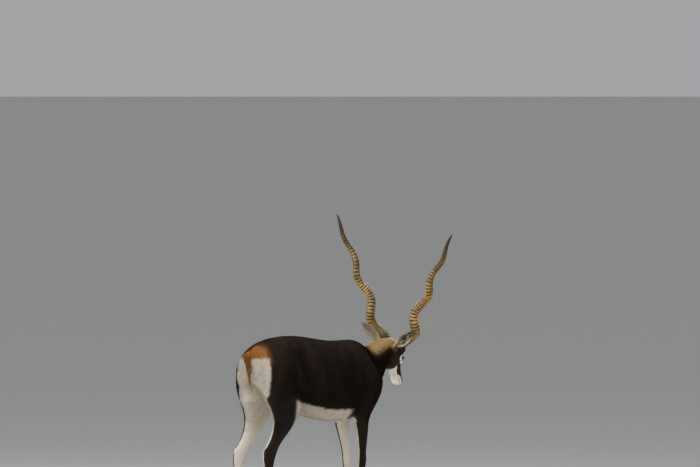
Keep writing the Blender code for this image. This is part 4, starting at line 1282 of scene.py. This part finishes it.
def tinted(material, attribute, pattern, low, high):
    """Colours a material by an attribute, made darker and lighter by a pattern."""
    nodes = material.node_tree.nodes
    span = nodes.new("ShaderNodeMapRange")
    span.inputs["From Min"].default_value = 0.3
    span.inputs["From Max"].default_value = 0.7
    span.inputs["To Min"].default_value = low
    span.inputs["To Max"].default_value = high
    link(material, pattern.outputs["Fac"], span.inputs["Value"])
    mix = nodes.new("ShaderNodeVectorMath")
    mix.operation = "SCALE"
    link(material, attribute_node(material, attribute).outputs["Color"], mix.inputs[0])
    link(material, span.outputs["Result"], mix.inputs["Scale"])
    link(material, mix.outputs["Vector"], node_shader(material).inputs["Base Color"])


def skin_material():
    """Fine short hair seen as grain on the skin between the tufts."""
    material = new_material("coat_skin", 0.65)
    node_shader(material).inputs["Specular IOR Level"].default_value = 0.22
    grain = noise_node(material, scale=420.0, detail=3.0)
    tinted(material, "Coat", grain, low=0.65, high=1.15)
    bumped(material, grain, distance=0.0012, strength=0.6)
    return material


def tuft_material():
    """Hair of the coat, satin along its length."""
    material = new_material("coat_hair", 0.62)
    shader = node_shader(material)
    shader.inputs["Specular IOR Level"].default_value = 0.22
    shader.inputs["Sheen Weight"].default_value = 0.04
    streak = noise_node(material, scale=160.0, detail=2.0)
    tinted(material, "Coat", streak, low=0.82, high=1.12)
    return material


def horn_material():
    """Ringed horn: tan ridges, grooves darkened by painted shade, fine lengthwise grain and a dark tip."""
    material = new_material("ringed_horn", 0.48)
    shader = node_shader(material)
    shader.inputs["Specular IOR Level"].default_value = 0.30
    patches = noise_node(material, scale=38.0, detail=5.0)
    tinted(material, "Horn", patches, low=0.72, high=1.22)
    grain = noise_node(material, scale=520.0, detail=4.0, stretch=(1, 1, 0.18))
    bumped(material, grain, distance=0.0010, strength=0.8)
    rough = material.node_tree.nodes.new("ShaderNodeMapRange")
    rough.inputs["To Min"].default_value = 0.38
    rough.inputs["To Max"].default_value = 0.62
    link(material, grain.outputs["Fac"], rough.inputs["Value"])
    link(material, rough.outputs["Result"], shader.inputs["Roughness"])
    return material


def horn_shares():
    """Stations up the horn, and where each lies in its ring, from groove to groove."""
    per_ring = 8
    first = HORN_START + 0.012
    run = np.linspace(0, 1, HORN_RINGS + 1)
    borders = first + (HORN_RING_END - first) * (0.74 * run + 0.26 * run**2)
    borders[1:-1] += rng.uniform(-HORN_RING_UNEVEN, HORN_RING_UNEVEN, HORN_RINGS - 1)
    shares, phase = [HORN_START - 0.02, HORN_START], [0.0, 0.0]
    for low, high in zip(borders, borders[1:]):
        for step in range(per_ring):
            shares.append(low + (high - low) * step / per_ring)
            phase.append(step / per_ring)
    tip = np.linspace(HORN_RING_END, 1.0, HORN_TIP_STATIONS)
    return np.array(shares + list(tip)), np.array(phase + [0.5] * len(tip))


def horn(side, name):
    """A ringed spiral horn, finer than its solid."""
    shares, phase = horn_shares()
    rows = len(shares)
    centres = np.array([list(horn_centre(s, side)) for s in shares])
    centres[0] = horn_centre(HORN_START, side) - (UP + LEFT * side * 0.35) * HORN_SUNK
    ahead = unit(np.gradient(centres, axis=0))
    across = unit(np.array(FORWARD) - ahead * (ahead @ np.array(FORWARD))[:, None])
    third = np.cross(ahead, across)
    radii = np.array([horn_radius(max(s, HORN_START)) for s in shares])
    radii[0] *= 0.80
    ridge = (0.5 - 0.5 * np.cos(2 * np.pi * (phase + 0.10 * np.sin(2 * np.pi * phase)))) ** 1.25
    fade = 1 - ramp(shares, 0.30, HORN_RING_END)
    depth = (HORN_RING_HIGH * fade + HORN_RING_LOW) * (1 - ramp(shares, HORN_RING_END - 0.03, HORN_RING_END))
    ring_number = np.cumsum(np.concatenate([[0], (np.diff(phase) < 0).astype(int)]))
    ring_height = rng.uniform(0.70, 1.25, ring_number.max() + 2)[ring_number]

    def where(column, row):
        index = np.round(row * (rows - 1)).astype(int)
        turn = column * 2 * math.pi
        front = 1 + 0.28 * np.cos(turn)
        ring = ring_number[index]
        uneven = 1 + 0.16 * np.sin(2 * turn + ring * 1.9) + 0.10 * np.sin(5 * turn + ring * 2.7)
        radius = radii[index] + (ridge[index] - 0.5) * depth[index] * ring_height[index] * front * uneven
        radius += HORN_FIBRE * np.sin(11 * turn + 2.5 * np.sin(shares[index] * 9)) * fade[index]
        radius = np.where(index == rows - 1, HORN_POINT_RADIUS, radius)
        tilt = ahead[index] * (HORN_RING_TILT * np.sin(turn + ring * 0.8))[:, None] * fade[index][:, None]
        out = across[index] * (np.cos(turn) * 1.05)[:, None] + third[index] * (np.sin(turn) * 0.97)[:, None]
        return centres[index] + out * radius[:, None] + tilt

    obj = wrapped_grid(name, HORN_SIDES, rows - 1, where)
    points = vertex_array(obj.data)
    station = nearest(search_tree(centres), points)
    colour_attribute(obj, "Horn", horn_colours(points, shares[station], ridge[station]))
    return shaded_smooth(obj)


def horn_colours(points, share, high):
    """Golden ridges, grooves darkened by painted shade, greyer worn patches, near black at the tip, and
    painted shade where the horn meets the skull.
    """
    golden, worn = np.array(HORN_GOLD), np.array(HORN_WORN)
    patch = np.clip(0.5 + 0.7 * wobble(points, 0.06, 31) + 0.6 * (1 - ramp(share, -0.01, 0.09)), 0, 1)
    streak = np.clip(0.5 + 0.8 * wobble(points * np.array([1, 1, 0.25]), 0.006, 32), 0, 1)
    colour = golden + (worn - golden) * patch[:, None]
    colour = colour * ((0.78 + 0.36 * streak) * (1 - 0.48 * ramp(share, 0.38, 0.74)))[:, None]
    # Painted shade in the grooves between the rings; the ridges are left lit
    lit = ramp(high + 0.22 * (streak - 0.5), 0.20, 0.78)
    groove_shade_share = 1 - 0.15 * ramp(share, 0.65, HORN_RING_END)
    colour = mixed(colour, HORN_GROOVE_SHADE, (1 - lit) * groove_shade_share)
    colour = mixed(colour, HORN_TIP, ramp(share, 0.70, 0.95) * 0.94)
    # Painted shade where the horn goes into the skull
    return mixed(colour, HORN_ROOT_SHADE, (1 - ramp(share, HORN_START + 0.02, HORN_START + 0.12)) * 0.75)


def eye(side, name):
    """A moist dark eye: brown iris, long level pupil and a slightly raised cornea."""
    centre, look = eye_place(side), eye_look(side)
    level = (NOSE - look * NOSE.dot(look)).normalized()
    upward = look.cross(level)
    bpy.ops.object.select_all(action="DESELECT")
    bpy.ops.mesh.primitive_uv_sphere_add(segments=48, ring_count=32, radius=EYE_RADIUS, location=(0, 0, 0))
    obj = bpy.context.object
    obj.name = name
    obj.data.name = name
    turn = Matrix([[level[i], upward[i], look[i]] for i in range(3)])
    if turn.determinant() < 0:
        turn = Matrix([[level[i], -upward[i], look[i]] for i in range(3)])
    points = vertex_array(obj.data)
    off = np.hypot(points[:, 0], points[:, 1])
    facing = points[:, 2] > 0
    bulge = 1 + CORNEA_BULGE * np.exp(-((off / CORNEA_WIDTH) ** 2)) * facing
    iris = facing * (1 - ramp(off, *IRIS_EDGE))
    across, upright = PUPIL_SIZE
    pupil = facing * (1 - ramp(np.hypot(points[:, 0] / across, points[:, 1] / upright), 0.9, 1.05))
    streaks = 0.75 + 0.25 * np.sin(np.arctan2(points[:, 1], points[:, 0]) * IRIS_STREAKS)
    colour = np.tile(np.array(EYEBALL_DARK), (len(points), 1))
    colour = colour + (np.array(IRIS) * streaks[:, None] - colour) * iris[:, None]
    colour = mixed(colour, np.array(PUPIL), pupil)
    world = (points * bulge[:, None]) @ np.array(turn).T + np.array(centre)
    set_vertices(obj.data, world)
    colour_attribute(obj, "Eye", colour)
    return shaded_smooth(obj)


def eye_material():
    """Moist cornea over the colours of iris and pupil."""
    material = new_material("moist_eye", 0.25)
    shader = node_shader(material)
    shader.inputs["Specular IOR Level"].default_value = 0.2
    shader.inputs["Coat Weight"].default_value = 0.6
    shader.inputs["Coat Roughness"].default_value = 0.02
    link(material, attribute_node(material, "Eye").outputs["Color"], shader.inputs["Base Color"])
    return material


def hoof_material():
    """Black hoof horn, with faint rings and scuffs near the floor."""
    material = new_material("hoof_horn", 0.42)
    shader = node_shader(material)
    nodes = material.node_tree.nodes
    rings = noise_node(material, scale=60.0, detail=5.0, stretch=(1, 1, 6))
    shades = nodes.new("ShaderNodeValToRGB")
    shades.color_ramp.elements[0].position = 0.35
    shades.color_ramp.elements[0].color = HOOF_BLACK
    shades.color_ramp.elements[1].position = 0.75
    shades.color_ramp.elements[1].color = HOOF_SCUFFED
    link(material, rings.outputs["Fac"], shades.inputs["Fac"])
    link(material, shades.outputs["Color"], shader.inputs["Base Color"])
    bumped(material, rings, distance=0.0008, strength=0.5)
    return material


def finer_hoof(node):
    """A rounded hoof, drawn in at the coronet and narrowed to the toe, in place of its coarse solid."""
    obj = merged_copy(node, 0.0)
    obj.name = node + "_fine"
    obj.data.name = obj.name
    remeshed(obj, HOOF_VOXEL, 2)
    foot = node.rsplit("_", 1)[0]
    low, high = (np.array(corner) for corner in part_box(node))
    both = np.array([[list(corner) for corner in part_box(f"{foot}_{toe}")] for toe in ("inner", "outer")])
    foot_low, foot_high = both[:, 0].min(axis=0), both[:, 1].max(axis=0)
    middle = (foot_low[0] + foot_high[0]) / 2
    pastern = foot_high[1] - HOOF_PASTERN * (foot_high[1] - foot_low[1])
    points = vertex_array(obj.data)
    up = np.clip((points[:, 2] - low[2]) / (high[2] - low[2]), 0, 1)
    ahead = (high[1] - points[:, 1]) / (high[1] - low[1])
    points[:, 0] += ((low[0] + high[0]) / 2 - points[:, 0]) * HOOF_TOE_NARROW * ramp(ahead, 0.40, 1.05)
    drawn = HOOF_DRAWN_IN * up**2
    points[:, 0] += (middle - points[:, 0]) * drawn
    points[:, 1] += (pastern - points[:, 1]) * drawn
    set_vertices(obj.data, points)
    add_smoothing(obj, HOOF_ROUNDS)
    return shaded_smooth(apply_all(obj))


def add_floor():
    """A pale floor that reaches to the horizon."""
    bpy.ops.object.select_all(action="DESELECT")
    bpy.ops.mesh.primitive_plane_add(size=FLOOR_SIZE, location=(0, 0, 0))
    floor = bpy.context.object
    floor.name = "floor"
    material = new_material("pale_floor", 0.9)
    node_shader(material).inputs["Base Color"].default_value = FLOOR_GREY
    floor.data.materials.append(material)


def add_light(name, energy, size, location, target):
    data = bpy.data.lights.new(name, "AREA")
    data.energy = energy
    data.shape = "DISK"
    data.size = size
    light = bpy.data.objects.new(name, data)
    bpy.context.scene.collection.objects.link(light)
    light.location = location
    light.rotation_euler = (Vector(target) - Vector(location)).to_track_quat("-Z", "Y").to_euler()


def add_camera():
    """Looks level but for a slight dip, from behind the animal's right side."""
    pixel = CAMERA_SENSOR / CAMERA_LENS / FRAME_WIDTH
    data = bpy.data.cameras.new("camera")
    data.lens = CAMERA_LENS
    data.sensor_width = CAMERA_SENSOR
    data.clip_end = 1000
    camera = bpy.data.objects.new("camera", data)
    bpy.context.scene.collection.objects.link(camera)
    right = Vector((CAMERA_WAY.y, -CAMERA_WAY.x, 0))
    tail_root = place(-0.64, 0, 0)
    metre = pixel * CAMERA_DISTANCE
    middle = tail_root + right * (FRAME_WIDTH / 2 - RUMP_COLUMN) * metre
    dip = math.atan((FRAME_HEIGHT / 2 - HORIZON_ROW) * pixel)
    spot = middle - CAMERA_WAY * CAMERA_DISTANCE
    camera.location = (spot.x, spot.y, CAMERA_HEIGHT)
    look = CAMERA_WAY * math.cos(dip) - Vector((0, 0, math.sin(dip)))
    camera.rotation_euler = look.to_track_quat("-Z", "Y").to_euler()
    bpy.context.scene.camera = camera


def add_world():
    """Pale even light from all round."""
    world = bpy.data.worlds.new("studio")
    world.use_nodes = True
    background = world.node_tree.nodes["Background"]
    background.inputs["Color"].default_value = SKY
    background.inputs["Strength"].default_value = SKY_STRENGTH
    bpy.context.scene.world = world
    bpy.context.scene.view_settings.look = "AgX - Medium High Contrast"


def ride(obj, slot, *nodes):
    """Puts a piece on the body and hides the solids that it replaces; its slot is not used."""
    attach(obj, "root")
    if nodes:
        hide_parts(*nodes)


def build_skins():
    """Both skins, sunk to the roots of the coat."""
    body = body_skin()
    points = vertex_array(body.data)
    sink(body, coat_depth(points) + TUCKED * ramp(toward_head(points), 0.0, 0.010))
    head = head_skin()
    for obj in (body, head):
        shaded_smooth(obj)
    return body, head


def trunk_axis_wrap():
    """The map of the trunk's coat, unrolled round a level line through it."""
    return round_the(place(-0.3, 0, 0.64), Vector((0, 1, 0)), start=-0.6, end=0.5)


def eye_apart(points):
    """Distance to the nearer eye's rim."""
    rims = [distance_to(points, almond(side, RIM_OUT)) for side in (1, -1)]
    return np.minimum(*rims)


def tuft_length(points):
    """Hair length: longest on trunk and haunch, short on legs, shortest on face and feet."""
    forward, _, height = body_places(points)
    length = 0.0080 + 0.0070 * ramp(height, 0.34, 0.56)
    length *= 0.62 + 0.38 * ramp(height, 0.03, 0.20)
    length *= 1 + 0.25 * (1 - ramp(np.abs(height - 0.47), 0.03, 0.06)) * (1 - ramp(forward, 0.0, 0.1))
    along = head_places(points)[0]
    head = head_share(points, -0.01, 0.05)
    face = 0.0050 + 0.0060 * (1 - ramp(along, -0.05, 0.03))
    face -= 0.0015 * ramp(along, 0.10, 0.14)
    face *= 0.42 + 0.58 * ramp(eye_apart(points), 0.003, 0.014)
    on_ear = ear_share(points)
    run = np.maximum(*(ear_run(points, side)[0] for side in (1, -1)))
    face = face * (1 - on_ear) + (0.0065 - 0.0035 * ramp(run, 0.70, 0.95)) * on_ear
    return length * (1 - head) + face * head


def tuft_width(points):
    """Width of a tuft at its root: finest on the head and round the eyes."""
    height = body_places(points)[2]
    width = 0.0011 + 0.0005 * ramp(height, 0.36, 0.60)
    head = head_share(points, -0.01, 0.05)
    return width * (1 - head) + 0.00075 * head * (0.7 + 0.3 * ramp(eye_apart(points), 0.003, 0.014))


def tuft_lift(points):
    """How far the tips stand off the skin."""
    return coat_depth(points) * 0.85


def body_density(points):
    """Tufts to the square metre, closer on the legs."""
    height = body_places(points)[2]
    return (BODY_TUFTS + LEG_TUFTS_MORE * (1 - ramp(height, 0.30, 0.50))) * THINNED


def head_density(points):
    """Tufts to the square metre, closer round the eyes."""
    close = 1 + 1.2 * (1 - ramp(eye_apart(points), 0.004, 0.012))
    return HEAD_TUFTS * close * THINNED


def hair_grows(points):
    """1 where hair grows on the head: not on lids, eyes or nose pad."""
    along, above, _ = head_places(points)
    grows = 1 - nose_pad(along, above, 0.160)
    for side in (1, -1):
        grows *= ramp(distance_to(points, almond(side, RIM_OUT, 1.0, RIM_STEPS)), 0.0034, 0.0048)
        grows *= np.linalg.norm(points - np.array(eye_place(side)), axis=1) > EYE_RADIUS + 0.0012
    return grows


def coat_slot(name):
    """The slot of a coat piece."""
    if name.startswith("coat_ear"):
        return "coat_fawn"
    return "coat_rufous" if name == "coat_tail" else "coat_dark"


def build_coat(body, head, hair):
    """Every coat piece: trunk, legs, head and ear on each side, then the tail and the lashes."""
    body_points = vertex_array(body.data)
    body_pelt = Pelt(body, body_lie(body_points, nearest_nodes(body_points, BODY_NODES)))
    head_pelt = Pelt(head, head_lie(vertex_array(head.data)))
    pieces = []

    def body_part(low, high, side, upper):
        def chosen(points):
            forward, left, height = body_places(points)
            there = (forward >= low) & (forward < high) & (np.sign(left) == side)
            there &= toward_head(points) < COAT_PAST_CUT
            there &= (height >= UPPER_COAT_FLOOR) if upper else (height < UPPER_COAT_FLOOR)
            return there & (tail_share(points)[0] < 0.5)
        return chosen

    def grow(name, pelt, density, chosen, wrap, *lie):
        looks = (tuft_length, tuft_width, tuft_lift, wrap)
        pieces.append(tufts(name, pelt, density, chosen, *looks, *lie))

    for side, word in ((1, "left"), (-1, "right")):
        for zone, low, high in ZONES:
            chosen = body_part(low, high, side, True)
            grow(f"coat_{zone}_{word}", body_pelt, body_density, chosen, trunk_axis_wrap())
        for zone, low, high, middle in LEG_ZONES:
            leg_line = place(middle, LEG_ASIDE * side, 0)
            wrap = round_the(leg_line, Vector((0, 0, 1)), start=0.0, end=0.46)
            chosen = body_part(low, high, side, False)
            grow(f"coat_leg_{zone}_{word}", body_pelt, body_density, chosen, wrap, SHORT_HAIR_SPREAD)

        def on_face(points, side=side):
            there = (np.sign(head_places(points)[2]) == side) & (toward_head(points) >= -COAT_PAST_CUT)
            return hair_grows(points) * there * (ear_share(points) < 0.5)

        def on_ear(points, side=side):
            return (ear_share(points) >= 0.5) & (np.sign(head_places(points)[2]) == side)

        wrap = round_the(on_head(0, -0.045, 0), NOSE, start=-0.10, end=0.18)
        grow(f"coat_head_{word}", head_pelt, head_density, on_face, wrap, SHORT_HAIR_SPREAD, FACE_HAIR_ROOTED)
        along, _, _, root = ear_frame(side)
        wrap = round_the(root, along, start=0.0, end=EAR_LENGTH * 1.05)
        grow(f"coat_ear_{word}", head_pelt, head_density, on_ear, wrap, SHORT_HAIR_SPREAD, EAR_HAIR_ROOTED)
    pieces.append(tail_hair(body_pelt))
    pieces.append(lashes())
    for piece in pieces:
        piece.data.materials.append(hair)
        ride(piece, coat_slot(piece.name))


def lash_points(base, lie, across, out, long, wide):
    """Four corners of each lash: two at its root's sides, one below and one at the tip."""
    half = across * (wide / 2)[:, None]
    below = base - out * LASH_DEPTH - lie * (wide * 0.3)[:, None]
    return np.stack([base - half, base + half, below, base + lie * long[:, None]], 1)


def lashes():
    """Dark lashes along both upper lids, longest in the middle."""
    base, lie, across, out, long = [], [], [], [], []
    for side in (1, -1):
        look = np.array(eye_look(side))
        rim = almond(side, out=0.0022, widen=1.04, steps=LASH_RIM_STEPS)
        rim = np.array([list(p) for p in rim])
        for index in range(LASH_FIRST, LASH_LAST + 1):
            share = math.sin(math.pi * (index - LASH_FIRST) / (LASH_LAST - LASH_FIRST))
            ahead = unit((rim[index + 1] - rim[index - 1])[None])[0]
            outward = np.cross(ahead, look)
            outward *= np.sign(outward @ np.array(ABOVE))
            way = look * 0.70 + outward * 0.10 + ahead * rng.normal(0, 0.16) - np.array(UP) * 0.40
            base.append(rim[index])
            lie.append(way / np.linalg.norm(way))
            across.append(ahead)
            out.append(outward)
            long.append(LASH_SHORTEST + LASH_MORE * share * rng.uniform(0.7, 1.15))
    base, lie, across, out, long = (np.array(values) for values in (base, lie, across, out, long))
    points = lash_points(base, lie, across, out, long, np.full(len(base), LASH_WIDTH))
    tone = np.tile(np.array(NOSE_BLACK), (len(base), 4, 1))
    spots = np.linspace(0.02, 0.98, len(base))[:, None, None] + np.zeros((1, 4, 2)) + UV_PATCH[None]
    return mesh_of_tufts("lashes", points, WEDGE_FACES, tone, spots)


def tail_hair(pelt):
    """Longer hair that hangs from the tail and ends in a loose point."""
    def on_tail(points):
        return tail_share(points)[0] >= 0.5

    def long(points):
        height = body_places(points)[2]
        return 0.016 + 0.032 * (1 - ramp(height, 0.66, 0.74)) + 0.010 * (1 - ramp(height, 0.62, 0.64))

    def wide(points):
        return np.full(len(points), 0.0016)

    def lift(points):
        return np.full(len(points), 0.0012)

    def density(points):
        return np.full(len(points), TAIL_TUFTS) * THINNED

    wrap = round_the(place(-0.68, 0, 0.60), Vector((0, 0, 1)), start=0.0, end=0.18)
    return tufts("coat_tail", pelt, density, on_tail, long, wide, lift, wrap, loose=True)


def main():
    skin_look = skin_material()
    hair = tuft_material()
    body, head = build_skins()
    for obj in (body, head):
        colour_attribute(obj, "Coat", markings(vertex_array(obj.data), normal_array(obj.data)))
        obj.data.materials.clear()
        obj.data.materials.append(skin_look)
    ride(body, "coat_dark", *BODY_NODES, "tail")
    ride(head, "coat_dark", *HEAD_NODES)
    build_coat(body, head, hair)

    horn_look, eye_look_material, hoof_look = horn_material(), eye_material(), hoof_material()
    for side, word in ((1, "left"), (-1, "right")):
        spiral = horn(side, "ringed_horn_" + word)
        spiral.data.materials.append(horn_look)
        ride(spiral, "horn", "horn_" + word)
        globe = eye(side, "globe_" + word)
        globe.data.materials.append(eye_look_material)
        ride(globe, "eye", "eye_" + word)
    for node in sorted(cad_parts):
        if node.startswith("hoof_"):
            fine = finer_hoof(node)
            fine.data.materials.append(hoof_look)
            ride(fine, "hoof", node)

    add_floor()
    add_world()
    for name, settings in LIGHTS.items():
        add_light(name, *settings)
    add_camera()


main()
